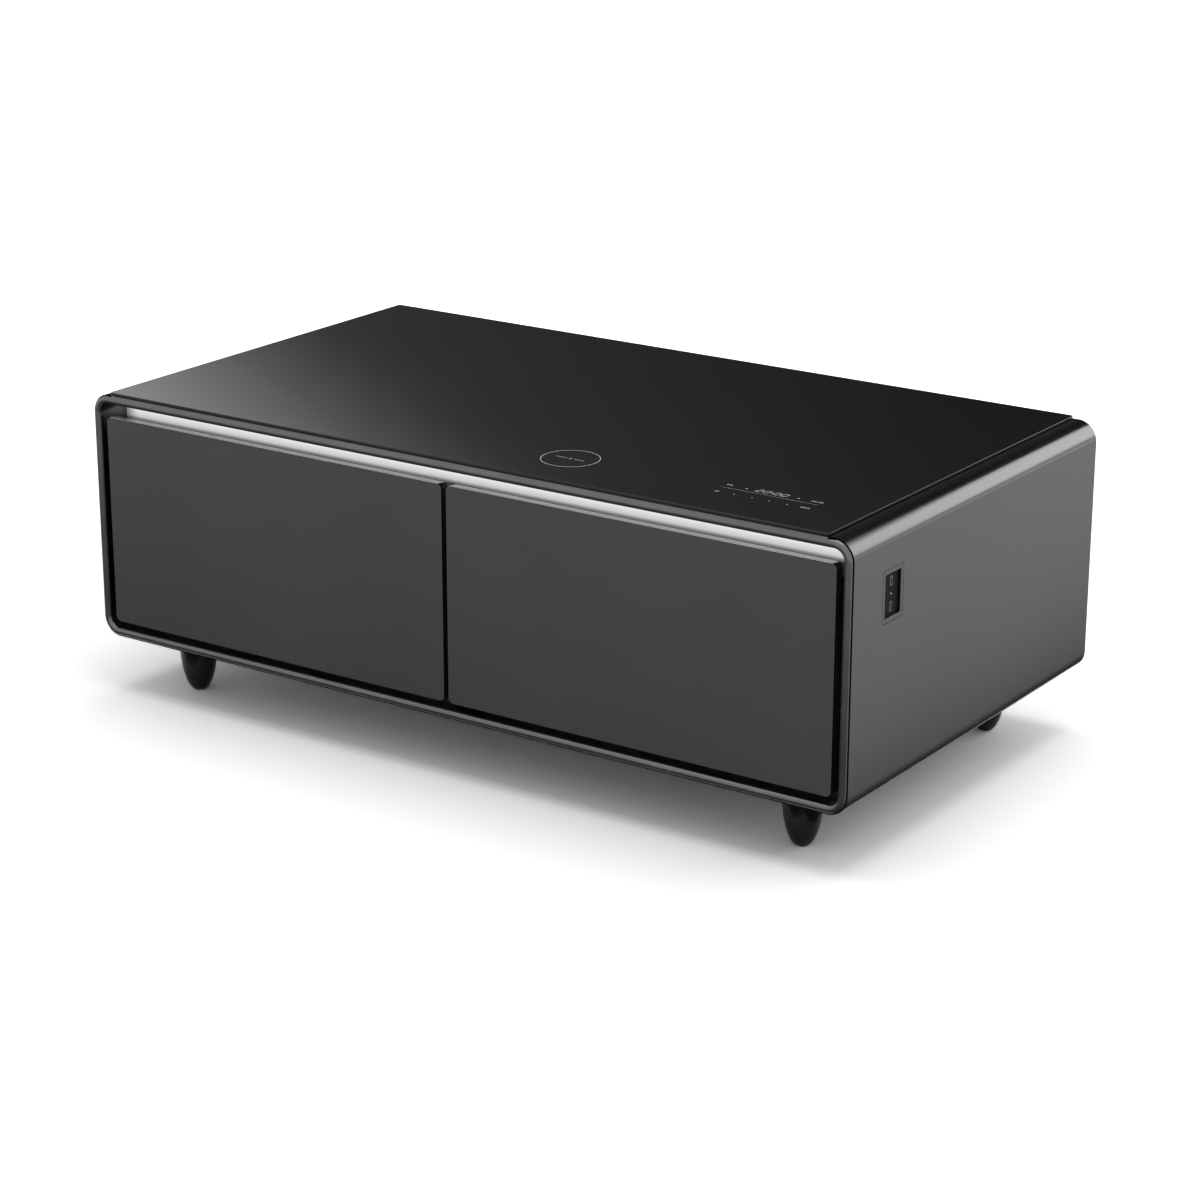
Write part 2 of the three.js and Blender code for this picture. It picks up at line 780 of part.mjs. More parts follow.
function glassPad() {
  const z = [caseTop + seat, caseTop + seat + padThickness];
  const past = [z[0] - overrun, z[1] + overrun];
  const y = [caseFront + padInset, glassY[1] - padInset];
  return cut(prism(roundedShape(shrunk(glassX, padInset), y, glassCorner), z, "z"), [
    rod(chargerWindow, [chargerX, chargerY], past, "z", roundSides),
    prism(displayWindow(0), past, "z"),
  ]);
}

// Wireless charger: coil housing in its window, on a flange below the sheet
function chargerCoil() {
  const under = caseTop - caseSheet - seat;
  const centre = [chargerX, chargerY];
  const flangeZ = [under - chargerFlangeThickness, under];
  const flange = rod(chargerWindow + chargerLip, centre, flangeZ, "z", roundSides);
  const pot = rod(chargerWindow - seat, centre, [under - overrun, caseTop], "z", roundSides);
  const eye = rod(chargerCoilInner, centre, [caseTop - overrun, caseTop + overrun], "z");
  return cut(joined([flange, pot]), [eye]);
}

// Touch and display board, raised through its window in the case top
function controlBoard() {
  const under = caseTop - caseSheet - seat;
  const boardMiddle = under - boardThickness / 2;
  const board = prism(displayWindow(boardMargin), [under - boardThickness, under], "z");
  const lens = prism(displayWindow(-seat), [boardMiddle, caseTop], "z");
  const parts = prism(displayWindow(-boardMargin), [boardMiddle - displayBlock, boardMiddle], "z");
  return joined([board, lens, parts]);
}

// Socket panel in the right side
function usbBezel() {
  const face = halfWidth;
  const back = face - caseSheet - usbRecess;
  const plate = prism(usbShape(0), [back, face], "x");
  return cut(plate, [prism(usbShape(usbRim), [back - overrun, face + overrun], "x")]);
}

function usbModule() {
  const face = halfWidth - caseSheet - usbRecess - seat;
  const y = [usbMiddleY - usbWidth / 2 + usbBodyInset, usbMiddleY + usbWidth / 2 - usbBodyInset];
  const z = [usbMiddleZ - usbHeight / 2 + usbBodyInset, usbMiddleZ + usbHeight / 2 - usbBodyInset];
  let body = block([face - usbBody + 2 * seat, face], y, z);
  for (const side of [-1, 1]) {
    const centre = usbMiddleZ + side * portOffset;
    const mouthY = [usbMiddleY - portWidth / 2, usbMiddleY + portWidth / 2];
    const mouthZ = [centre - portHeight / 2, centre + portHeight / 2];
    body = body.subtract(block([face - portDepth, face + overrun], mouthY, mouthZ));
    const tongueY = usbMiddleY + portTongueShift;
    const tongue = block(
      [face - portDepth - overrun, face - portDepth + portTongueDepth],
      [tongueY - portTongue / 2, tongueY + portTongue / 2],
      [centre - portTongueHeight / 2, centre + portTongueHeight / 2],
    );
    body = body.add(tongue);
  }
  return body;
}

// Foot: the lower half of an egg with a flat tip, and its stud
function foot(sideX, sideY) {
  const egg = footHeight + footTipCut;
  const top = footHeight - seat;
  const profile = [[0, 0]];
  for (let i = 0; i <= footSteps; i++) {
    const height = top * (i / footSteps) ** 2;
    const share = (1 - ((footHeight - height) / egg) ** footFullness) ** (1 / footFullness);
    profile.push([footRadius * share, height]);
  }
  profile.push([studRadius, top], [studRadius, footHeight + studLength], [0, footHeight + studLength]);
  return solidOf(turned(profile, roundSides).translate(sideX * footX, sideY * footY, 0));
}

// Glass of a drawer front
function drawerGlass(side) {
  const shape = roundedShape(span(side, doorInner, doorOuter), [doorBottom, doorTop], frontCorner);
  return prism(shape, [glassFront, glassFront + frontGlass], "y");
}

// Insulated drawer front with a lip along the top and a finger trough behind it
function drawerDoor(side) {
  const shape = new THREE.Shape();
  shape.moveTo(doorFront, doorBottom);
  shape.lineTo(doorBack, doorBottom);
  shape.lineTo(doorBack, doorCoreTop);
  shape.lineTo(lipBack + pullRadius, doorCoreTop);
  shape.absarc(lipBack + pullRadius, doorCoreTop + pullRadius, pullRadius, 1.5 * Math.PI, Math.PI, true);
  shape.lineTo(lipBack, doorTop - lipRound);
  shape.absarc(lipBack - lipRound, doorTop - lipRound, lipRound, 0, Math.PI / 2);
  shape.lineTo(doorFront, doorTop);
  const x = span(side, doorInner, doorOuter);
  const outer = roundedShape(x, [doorBottom, doorTop], frontCorner);
  return prism(shape, x, "x").intersect(prism(outer, [doorFront - overrun, doorBack + overrun], "y"));
}

// Magnetic seal: a foot on the door, bellows and a magnet bulb on the cabinet face
function gasket(side) {
  const near = doorBack + seat;
  const far = near + gasketThickness;
  const section = [
    [0, far - gasketHead],
    [0, far],
    [gasketWidth, far],
    [gasketWidth, far - gasketHead],
    [gasketWidth - gasketWaist, (near + far) / 2],
    [gasketWidth - gasketWaist / 2, near + gasketFoot],
    [gasketWidth - gasketWaist / 2, near],
    [gasketWaist / 2, near],
    [gasketWaist / 2, near + gasketFoot],
    [gasketWaist, (near + far) / 2],
  ];
  const x = shrunk(span(side, doorInner, doorOuter), gasketInset);
  return frameRound(x, shrunk([doorBottom, doorCoreTop], gasketInset), gasketCorner, section, sealSteps);
}

// Drawer tub with draft, a rim, floor ribs and flat seats for its runners
function tub(side) {
  const reach = runnerWidth + 2 * seat;
  const seatX = shrunk(span(side, cavityInner, cavityOuter), reach);
  const topX = shrunk(seatX, tubRim);
  const topY = shrunk([tubFront, tubBack], tubRim);
  const floorX = shrunk(topX, tubDraft);
  const floorY = shrunk(topY, tubDraft);
  const rimBottom = tubTop - tubRimHeight;
  const shell = skin(
    [
      lying(shrunk(floorX, tubWall), shrunk(floorY, tubWall), tubCorner - tubWall, tubBottom + tubWall),
      lying(shrunk(topX, tubWall), shrunk(topY, tubWall), tubCorner - tubWall, tubTop),
      lying(shrunk(topX, -tubRim), shrunk(topY, -tubRim), tubCorner, tubTop),
      lying(shrunk(topX, -tubRim), shrunk(topY, -tubRim), tubCorner, rimBottom),
      lying(topX, topY, tubCorner, rimBottom),
      lying(floorX, floorY, tubCorner, tubBottom),
    ],
    false,
  );
  const pieces = [shell];
  const seatZ = [runnerMiddle - runnerHeight / 2, runnerMiddle + runnerHeight / 2];
  const seatY = [runnerFront, tubBack - tubRim - tubCorner];
  for (const end of [0, 1]) {
    const direction = end ? 1 : -1;
    const inside = topX[end] - direction * (tubWall - seat);
    const hollow = topX[end] - direction * tubDraft;
    const x = [seatX[end], (inside + hollow) / 2].sort((a, b) => a - b);
    const rail = block(x, seatY, seatZ);
    pieces.push(rail.subtract(tubInside(topX, topY, floorX, floorY)));
  }
  const ribX = shrunk(floorX, tubCorner);
  const ribPitch = (floorY[1] - floorY[0] - 2 * tubCorner) / (tubRibs - 1);
  for (let i = 0; i < tubRibs; i++) {
    const y = floorY[0] + tubCorner + i * ribPitch;
    const z = [tubBottom + tubWall / 2, tubBottom + tubWall + tubRibHeight];
    pieces.push(block(ribX, [y - tubRibWidth / 2, y + tubRibWidth / 2], z));
  }
  return joined(pieces);
}

function tubInside(topX, topY, floorX, floorY) {
  const half = tubWall / 2;
  return skin(
    [
      lying(shrunk(floorX, half), shrunk(floorY, half), tubCorner - half, tubBottom + half),
      lying(shrunk(topX, half), shrunk(topY, half), tubCorner - half, tubTop),
    ],
    false,
  );
}

// Rolled channel of a runner, open away from its web. Its races bow out (1), in (-1) or lie flat (0).
function channelShape(wall, direction, web, edge, half, lipEnd, bow) {
  const turn = Math.sign(edge - web);
  const webLine = web + (turn * runnerSheet) / 2;
  const edgeLine = edge - (turn * runnerSheet) / 2;
  const level = half - runnerSheet / 2 - (bow > 0 ? raceBow : 0);
  const raceStart = webLine + turn * runnerBend;
  const raceEnd = edgeLine - turn * runnerBend;
  const line = [];
  for (let i = 0; i <= bendSteps; i++) {
    const angle = ((Math.PI / 2) * i) / bendSteps;
    line.push([raceStart - turn * runnerBend * Math.cos(angle), level - runnerBend * (1 - Math.sin(angle))]);
  }
  for (let i = 1; bow && i < raceSteps; i++) {
    const share = i / raceSteps;
    const bowed = level + bow * raceBow * Math.sin(Math.PI * share);
    line.push([raceStart + (raceEnd - raceStart) * share, bowed]);
  }
  for (let i = 0; i <= bendSteps; i++) {
    const angle = ((Math.PI / 2) * i) / bendSteps;
    line.push([raceEnd + turn * runnerBend * Math.sin(angle), level - runnerBend * (1 - Math.cos(angle))]);
  }
  line.push([edgeLine, lipEnd]);
  const whole = [...line.map(([u, v]) => [u, -v]).reverse(), ...line];
  const points = stripOutline(whole, runnerSheet);
  return polygonShape(points.map(([u, v]) => [wall + direction * u, runnerMiddle + v]));
}

// Outline of a bent strip, from its middle line
function stripOutline(line, thickness) {
  const sideOf = (sign) =>
    line.map(([u, v], i) => {
      const before = line[Math.max(i - 1, 0)];
      const after = line[Math.min(i + 1, line.length - 1)];
      const into = new THREE.Vector2(u - before[0], v - before[1]).normalize();
      const out = new THREE.Vector2(after[0] - u, after[1] - v).normalize();
      const along = into.clone().add(out).normalize();
      const bent = into.length() && out.length() ? Math.max(along.dot(out), mitreShare) : 1;
      const offset = (sign * thickness) / 2 / bent;
      return [u - along.y * offset, v + along.x * offset];
    });
  return [...sideOf(1), ...sideOf(-1).reverse()];
}

const runnerY = [runnerFront, cavityBack - runnerBackGap];
const outerHalf = runnerHeight / 2;
const middleHalf = outerHalf - runnerSheet - ballSize;
const innerHalf = middleHalf - runnerSheet - ballSize;
const outerWeb = seat;
const middleWeb = outerWeb + runnerSheet + seat;
const innerEdge = middleWeb + runnerSheet + seat;
const innerWeb = seat + runnerWidth;
const outerEdge = innerWeb - seat;
const middleEdge = innerWeb - runnerSheet - seat;

// Cabinet, middle and drawer member of one runner. The middle one carries the balls of all four races.
function runnerMembers(wall, direction) {
  const outer = channelShape(wall, direction, outerWeb, outerEdge, outerHalf, middleHalf + seat, 1);
  const centre = channelShape(wall, direction, middleWeb, middleEdge, middleHalf, innerHalf + seat, 0);
  const inner = channelShape(wall, direction, innerWeb, innerEdge, innerHalf, innerHalf - runnerLip, -1);
  const members = [outer, centre, inner].map((shape) => prism(shape, runnerY, "y"));
  const across = wall + direction * ((outerWeb + outerEdge) / 2);
  const outerRace = middleHalf + ballSize / 2 - seat;
  const innerRace = middleHalf - runnerSheet - ballSize / 2 + seat;
  const raceY = shrunk(runnerY, ballInset);
  const balls = [];
  for (const height of [outerRace, -outerRace, innerRace, -innerRace]) {
    for (let i = 0; i < ballCount; i++) {
      const ball = new THREE.SphereGeometry(ballSize / 2, ballSides, ballSides / 2);
      ball.rotateY(Math.PI / ballSides);
      const y = raceY[0] + (i * (raceY[1] - raceY[0])) / (ballCount - 1);
      balls.push(solidOf(ball.translate(across, y, runnerMiddle + height)));
    }
  }
  members[1] = joined([members[1], ...balls]);
  return members;
}

function condenserMiddleZ() {
  return baseTop + seat + condenserHeight / 2;
}

// Base of the machine compartment, slotted over the window in the case
function machineBase() {
  const windowX = [-ventWindowLength / 2, ventWindowLength / 2];
  const windowY = [machineMiddleY - ventWindowWidth / 2, machineMiddleY + ventWindowWidth / 2];
  const z = [baseTop - baseSheet, baseTop];
  const tools = [];
  const pitch = ventWindowLength / ventSlots;
  for (let i = 0; i < ventSlots; i++) {
    const centre = windowX[0] + (i + 0.5) * pitch;
    const slot = [centre - ventSlotWidth / 2, centre + ventSlotWidth / 2];
    tools.push(block(slot, shrunk(windowY, ventSlotWidth), shrunk(z, -overrun)));
  }
  const shape = roundedShape(shrunk(windowX, -baseMargin), shrunk(windowY, -baseMargin), ventCorner);
  return cut(prism(shape, z, "z"), tools);
}

const earX = compressorLength / 2 - compressorEar;
const earY = compressorWidth / 2 - compressorEar;

// Hermetic compressor: welded shell, mounting plate, terminal cover and pipe stubs
function compressor() {
  const plateLow = baseTop + 2 * seat + grommetHeight;
  const plateZ = [plateLow, plateLow + compressorFoot];
  const bodyLow = plateLow + compressorSkirt;
  const bodyHigh = bodyLow + compressorHeight;
  const seam = bodyLow + compressorHeight / 2;
  const radius = compressorWidth / 2 - compressorSeam;
  const dome = radius / 2;
  const lowerDome = domeShares.map(([across, down]) => [radius * across, bodyLow + dome * down]);
  const upperDome = domeShares.map(([across, down]) => [radius * across, bodyHigh - dome * down]).reverse();
  const profile = [
    [0, plateLow],
    [radius / 2, plateLow],
    [radius / 2, bodyLow],
    ...lowerDome,
    [radius, seam - compressorSeam],
    [radius + compressorSeam, seam - compressorSeam],
    [radius + compressorSeam, seam + compressorSeam / 2],
    [radius, seam + compressorSeam / 2],
    ...upperDome,
    [0, bodyHigh],
  ];
  const stretch = (compressorLength - 2 * compressorEar) / compressorWidth;
  const turnedShell = turned(profile, roundSides).scale(stretch, 1, 1);
  const shell = solidOf(turnedShell.translate(compressorX, machineMiddleY, 0));
  const x = [compressorX - compressorLength / 2, compressorX + compressorLength / 2];
  const y = [machineMiddleY - compressorWidth / 2, machineMiddleY + compressorWidth / 2];
  const plate = prism(roundedShape(x, y, compressorEar), plateZ, "z");
  const holes = [];
  for (const sx of [-1, 1]) {
    for (const sy of [-1, 1]) {
      const place = [compressorX + sx * earX, machineMiddleY + sy * earY];
      holes.push(rod(grommetHole, place, [plateZ[0] - overrun, plateZ[1] + overrun], "z"));
    }
  }
  const coverX = [compressorX - stretch * radius - compressorEar, compressorX - (stretch * radius) / 2];
  const coverZ = [bodyLow + compressorSkirt, seam - 2 * compressorSeam];
  const cover = block(coverX, shrunk(y, compressorWidth / 4), coverZ);
  const stubPlaces = [dischargeStart(), suctionStart()];
  const stubs = stubPlaces.map((centre) => rod(pipeRadius, centre, stubEnds(), "x", tubeSides));
  return joined([cut(plate, holes), shell, cover, ...stubs]);
}

function compressorTop() {
  return baseTop + 2 * seat + grommetHeight + compressorSkirt + compressorHeight;
}

// Stub of the discharge pipe, on the right of the shell, as a centre and its ends
function dischargeStart() {
  return [machineMiddleY, baseTop + grommetHeight + compressorSkirt + compressorHeight / 4];
}

function suctionStart() {
  const [y, z] = dischargeStart();
  return [y, z + compressorHeight / 4];
}

function stubEnds() {
  return [compressorX + compressorLength / 4, compressorX + compressorLength / 2];
}

function grommet(sx, sy) {
  const place = [compressorX + sx * earX, machineMiddleY + sy * earY];
  const z = [baseTop + seat, baseTop + seat + grommetHeight];
  const plug = rod(grommetHole - seat, place, [z[1] - overrun, z[1] + seat + compressorFoot], "z");
  return joined([rod(grommetRadius, place, z, "z", roundSides / 2), plug]);
}

const condenserY = [foamBack + seat, foamBack + seat + condenserDepth];

// Fin and tube condenser: thin fins on a serpentine of tube, between two end plates
function condenser() {
  const x = [condenserX - condenserLength / 2, condenserX + condenserLength / 2];
  const z = [baseTop + seat, baseTop + seat + condenserHeight];
  const pitch = (condenserLength - finThickness) / (condenserFins - 1);
  const pieces = [];
  for (let i = 0; i < condenserFins; i++) {
    const start = x[0] + i * pitch;
    pieces.push(block([start, start + finThickness], condenserY, z));
  }
  const rowPitch = condenserHeight / coilRows;
  const y = middle(condenserY);
  for (let row = 0; row < coilRows; row++) {
    const centre = [y, z[0] + (row + 0.5) * rowPitch];
    pieces.push(rod(coilRadius, centre, [x[0] - coilRadius, x[1] + coilRadius], "x", tubeSides));
    if (row === coilRows - 1) continue;
    const end = row % 2 ? x[0] : x[1];
    const direction = row % 2 ? -1 : 1;
    const start = end + (direction * coilRadius) / 2;
    pieces.push(returnBend(start, y, centre[1], rowPitch, direction, coilRadius));
  }
  return joined(pieces);
}

function returnBend(x, y, z, pitch, direction, radius) {
  const points = [];
  for (let i = 0; i <= returnSteps; i++) {
    const angle = (Math.PI * i) / returnSteps;
    points.push([x + (direction * pitch * Math.sin(angle)) / 2, y, z + (pitch * (1 - Math.cos(angle))) / 2]);
  }
  return tube(points, radius, returnSteps);
}

const shroudY = [condenserY[1] + seat, condenserY[1] + seat + shroudDepth];
const strutY = [shroudY[1] - 2 * shroudWall, shroudY[1]];

// Fan shroud against the condenser, with a round duct and struts to the motor
function fanShroud() {
  const z = condenserMiddleZ();
  const halfX = condenserLength / 2;
  const halfZ = condenserHeight / 2;
  const shape = roundedShape([condenserX - halfX, condenserX + halfX], [z - halfZ, z + halfZ], shroudCorner);
  const centre = [condenserX, z];
  const through = shrunk(shroudY, -overrun);
  const reach = fanRadius + fanClearance + shroudWall;
  const plate = prism(shape, [shroudY[0], shroudY[0] + shroudWall], "y");
  const duct = rod(reach, centre, shroudY, "y", roundSides);
  const bore = rod(fanRadius + fanClearance, centre, through, "y", roundSides);
  const pieces = [cut(joined([plate, duct]), [bore])];
  for (let i = 0; i < strutCount; i++) {
    const angle = Math.PI / 2 + (i * 2 * Math.PI) / strutCount;
    const geometry = new THREE.BoxGeometry(reach - motorRadius / 2, strutY[1] - strutY[0], strutWidth);
    geometry.translate((reach + motorRadius / 2) / 2, 0, 0).rotateY(-angle);
    pieces.push(solidOf(geometry.translate(condenserX, middle(strutY), z)));
  }
  const ring = rod(motorRadius + shroudWall, centre, strutY, "y", roundSides);
  const hole = rod(motorRadius + seat, centre, through, "y", roundSides);
  return cut(joined([...pieces, ring]), [hole]);
}

const hubY = [shroudY[0] + fanClearance, strutY[0] - seat];

// Fan motor in the shroud's middle, with its shaft into the fan
function fanMotor() {
  const centre = [condenserX, condenserMiddleZ()];
  const body = rod(motorRadius, centre, [strutY[0], shroudY[1] + motorDepth], "y", roundSides);
  const shaft = rod(shaftRadius, centre, [hubY[0] + hubCap + seat, shroudY[1]], "y", tubeSides);
  return joined([body, shaft]);
}

// Axial fan with twisted blades on a hub
function condenserFan() {
  const centre = [condenserX, condenserMiddleZ()];
  const pieces = [rod(hubRadius, centre, hubY, "y", roundSides)];
  const chord = (hubY[1] - hubY[0] - bladeThickness - 2 * seat) / Math.sin(bladeTwist);
  for (let i = 0; i < bladeCount; i++) {
    const blade = bladeGeometry(chord).rotateY((-i * 2 * Math.PI) / bladeCount);
    pieces.push(solidOf(blade.translate(centre[0], middle(hubY), centre[1])));
  }
  const bore = rod(shaftRadius + seat, centre, [hubY[0] + hubCap, hubY[1] + overrun], "y", roundSides);
  return cut(joined(pieces), [bore]);
}

// One blade along +x: its chord lies flatter and narrower towards the tip
function bladeGeometry(chord) {
  const rings = [];
  const root = hubRadius - bladeThickness;
  for (let i = 0; i <= bladeSections; i++) {
    const share = i / bladeSections;
    const x = root + (fanRadius - root) * share;
    const half = (chord / 2) * (1 - bladeTaperShare * share);
    const pitch = bladeTwist * (1 - bladeFlattenShare * share);
    const corners = [
      [-half, -bladeThickness / 2],
      [half, -bladeThickness / 2],
      [half, bladeThickness / 2],
      [-half, bladeThickness / 2],
    ];
    const [across, along] = [Math.sin(pitch), Math.cos(pitch)];
    rings.push(corners.map(([u, v]) => [x, u * across + v * along, u * along - v * across]));
  }
  return geometryOf(skin(rings, false));
}

// Pipe from the compressor's stub to the condenser's lowest tube
function dischargePipe() {
  const [y, z] = dischargeStart();
  const start = stubEnds()[1] + seat;
  const coilZ = baseTop + seat + condenserHeight / coilRows / 2;
  const end = condenserX - condenserLength / 2 - coilRadius - seat;
  const coilY = middle(condenserY);
  const points = dischargeShares.map(([along, over, down]) => [
    start + (end - start) * along,
    y + (coilY - y) * over,
    z + (coilZ - z) * down,
  ]);
  return tube(points, pipeRadius, pipeSteps);
}

// Suction pipe from the compressor's upper stub into the foam
function suctionPipe() {
  const [y, z] = suctionStart();
  const start = stubEnds()[1] + seat;
  const wall = foamBack + seat;
  const points = [
    [start, y, z],
    [start + pipeStraight, y, z],
    [start + 2 * pipeStraight, (y + wall) / 2, z + pipeStraight],
    [start + 3 * pipeStraight, wall + pipeStraight, z + 2 * pipeStraight],
    [start + 3 * pipeStraight, wall, z + 2 * pipeStraight],
  ];
  return tube(points, pipeRadius, pipeSteps);
}

// Filter drier: from the condenser's upper tube, down through the drier and on into the foam
function filterDrier() {
  const y = middle(condenserY);
  const outletX = condenserX - condenserLength / 2 - coilRadius - seat;
  const outletZ = baseTop + seat + (condenserHeight * (coilRows - 0.5)) / coilRows;
  const top = outletZ - drierDrop;
  const low = top - drierLength;
  const profile = [
    [0, low],
    [pipeRadius, low],
    [drierRadius, low + drierRadius],
    [drierRadius, top - drierRadius],
    [pipeRadius, top],
    [0, top],
  ];
  const upper = [
    [outletX, y, outletZ],
    [outletX - pipeStraight, y, outletZ],
    [drierX + pipeStraight, y, outletZ],
    [drierX, y, outletZ - pipeStraight],
    [drierX, y, top - overrun],
  ];
  const lower = [
    [drierX, y, low + overrun],
    [drierX, y, low - pipeStraight],
    [drierX, foamBack + seat + pipeStraight, low - 2 * pipeStraight],
    [drierX, foamBack + seat, low - 2 * pipeStraight],
  ];
  const body = solidOf(turned(profile, smallSides).translate(drierX, y, 0));
  return joined([body, tube(upper, pipeRadius, pipeSteps), tube(lower, pipeRadius / 2, pipeSteps)]);
}

// Meltwater tray that lies on the warm compressor
function dripTray() {
  const low = compressorTop() + seat;
  const x = [compressorX - compressorLength / 2, compressorX + compressorLength / 2];
  const y = [machineMiddleY - compressorWidth / 2, machineMiddleY + compressorWidth / 2];
  const wallX = shrunk(x, trayWall);
  const wallY = shrunk(y, trayWall);
  const taper = 2 * trayWall;
  return skin(
    [
      lying(shrunk(wallX, taper), shrunk(wallY, taper), compressorEar, low + trayWall),
      lying(wallX, wallY, compressorEar, low + trayHeight),
      lying(x, y, compressorEar + trayWall, low + trayHeight),
      lying(shrunk(x, taper), shrunk(y, taper), compressorEar + trayWall, low),
    ],
    false,
  );
}

// Control box with a finned lid, on the case floor
function controlBox() {
  const low = caseBottom + caseSheet + seat;
  const x = [controlX - controlLength / 2, controlX + controlLength / 2];
  const y = [foamBack + seat, foamBack + seat + controlWidth];
  const top = low + controlHeight;
  const pieces = [prism(roundedShape(x, y, controlCorner), [low, top], "z")];
  const pitch = controlLength / (controlRibs + 1);
  for (let i = 1; i <= controlRibs; i++) {
    const start = x[0] + i * pitch;
    const rib = [start, start + controlRibWidth];
    pieces.push(block(rib, shrunk(y, controlCorner), [top - controlRibWidth, top + controlRibHeight]));
  }
  return joined(pieces);
}

function inletShape(inset, length, height) {
  const z = caseBottom + inletUp;
  const halfX = length / 2 + inletWall - inset;
  const halfZ = height / 2 + inletWall - inset;
  return roundedShape([inletX - halfX, inletX + halfX], [z - halfZ, z + halfZ], inletCorner);
}

// Mains inlet in the rear panel, with its three pins
function powerInlet() {
  const z = caseBottom + inletUp;
  const panelBack = panelFront + panelSheet;
  const halfX = inletMouthLength / 2 + inletWall + inletEar;
  const halfZ = inletMouthHeight / 2 + inletWall + inletLip;
  const flangeX = [inletX - halfX, inletX + halfX];
  const flangeShape = roundedShape(flangeX, [z - halfZ, z + halfZ], inletFlangeCorner);
  const flangeY = [panelBack + seat, panelBack + seat + inletFlange];
  const flange = prism(flangeShape, flangeY, "y");
  const bodyY = [flangeY[1] - inletDepth - 2 * inletWall, flangeY[1] - inletFlange / 2];
  const body = prism(inletShape(0, inletMouthLength, inletMouthHeight), bodyY, "y");
  const mouth = block(
    [inletX - inletMouthLength / 2, inletX + inletMouthLength / 2],
    [flangeY[1] - inletDepth, flangeY[1] + overrun],
    [z - inletMouthHeight / 2, z + inletMouthHeight / 2],
  );
  const pins = [[-pinSpread, -pinDrop], [0, pinDrop], [pinSpread, -pinDrop]].map(([dx, dz]) =>
    block(
      [inletX + dx - pinThickness / 2, inletX + dx + pinThickness / 2],
      [flangeY[1] - inletDepth - inletWall, flangeY[1] - inletDepth + pinLength],
      [z + dz - pinWidth / 2, z + dz + pinWidth / 2],
    ),
  );
  return joined([cut(joined([flange, body]), [mouth]), ...pins]);
}

// Cold plate on the back of a cavity, with its raised refrigerant channel
function coldPlate(side) {
  const x = shrunk(span(side, cavityInner, cavityOuter), plateMargin);
  const z = shrunk([cavityBottom, cavityTop], plateMargin / 2);
  const back = cavityBack - seat;
  const plate = prism(roundedShape(x, z, cavityCorner), [back - plateThickness, back], "y");
  const runX = shrunk(x, channelMargin);
  const runZ = shrunk(z, channelMargin);
  const pitch = (runZ[1] - runZ[0]) / (channelRuns - 1);
  const y = back - plateThickness / 2 - channelRadius;
  const pieces = [plate];
  for (let run = 0; run < channelRuns; run++) {
    const height = runZ[0] + run * pitch;
    pieces.push(rod(channelRadius, [y, height], runX, "x", tubeSides));
    if (run === channelRuns - 1) continue;
    const direction = run % 2 ? -1 : 1;
    pieces.push(returnBend(run % 2 ? runX[0] : runX[1], y, height, pitch, direction, channelRadius));
  }
  return joined(pieces);
}

// Cabinet
add("case_wrap", caseWrap(), "case_paint");
add("front_frame", frontFrame(), "ring_paint");
add("rear_panel", rearPanel(), "case_paint");
add("insulation", insulation(), "foam");
add("mullion_strip", mullionStrip(), "black_paint");
add("light_channel", lightChannel(), "black_plastic");
add("light_diffuser", lightDiffuser(), "diffuser");
add("led_strip", ledStrip(), "circuit_board");
add("glass_top", glassTop(), "top_glass");
add("glass_pad", glassPad(), "black_plastic");
add("charger_coil", chargerCoil(), "black_plastic");
add("control_board", controlBoard(), "circuit_board");
add("usb_bezel", usbBezel(), "bezel_plastic");
add("usb_module", usbModule(), "black_plastic");
for (const [place, sideX, sideY] of footPlaces) add(`foot_${place}`, foot(sideX, sideY), "foot_gloss");

// Machine compartment
add("machine_base", machineBase(), "zinc_steel");
add("compressor", compressor(), "compressor_paint");
for (const [place, sideX, sideY] of footPlaces) {
  add(`grommet_${place}`, grommet(sideX, sideY), "grommet_rubber");
}
add("condenser", condenser(), "aluminium");
add("fan_shroud", fanShroud(), "black_plastic");
add("fan_motor", fanMotor(), "zinc_steel");
add("condenser_fan", condenserFan(), "black_plastic");
add("discharge_pipe", dischargePipe(), "copper");
add("suction_pipe", suctionPipe(), "copper");
add("filter_drier", filterDrier(), "copper");
add("drip_tray", dripTray(), "black_plastic");
add("control_box", controlBox(), "black_plastic");
add("power_inlet", powerInlet(), "black_plastic");

// The two cold cavities and their drawers
for (const [name, side] of [["left", -1], ["right", 1]]) {
  add(`${name}_liner`, liner(side), "liner_white");
  add(`${name}_cold_plate`, coldPlate(side), "aluminium");
  add(`${name}_front_glass`, drawerGlass(side), "front_glass");
  add(`${name}_drawer_front`, drawerDoor(side), "black_plastic");
  add(`${name}_gasket`, gasket(side), "gasket_rubber");
  add(`${name}_tub`, tub(side), "tub_plastic");
  const walls = [
    ["outer", side * cavityOuter, -side],
    ["inner", side * cavityInner, side],
  ];
  for (const [where, wall, direction] of walls) {
    const members = runnerMembers(wall, direction);
    ["cabinet", "middle", "drawer"].forEach((member, i) => {
      add(`${name}_${where}_runner_${member}`, members[i], "zinc_steel");
    });
  }
}

export default table;
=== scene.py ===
import json
from math import copysign, cos, pi, radians, sin, sqrt

import bmesh
import bpy
from mathutils import Matrix, Vector

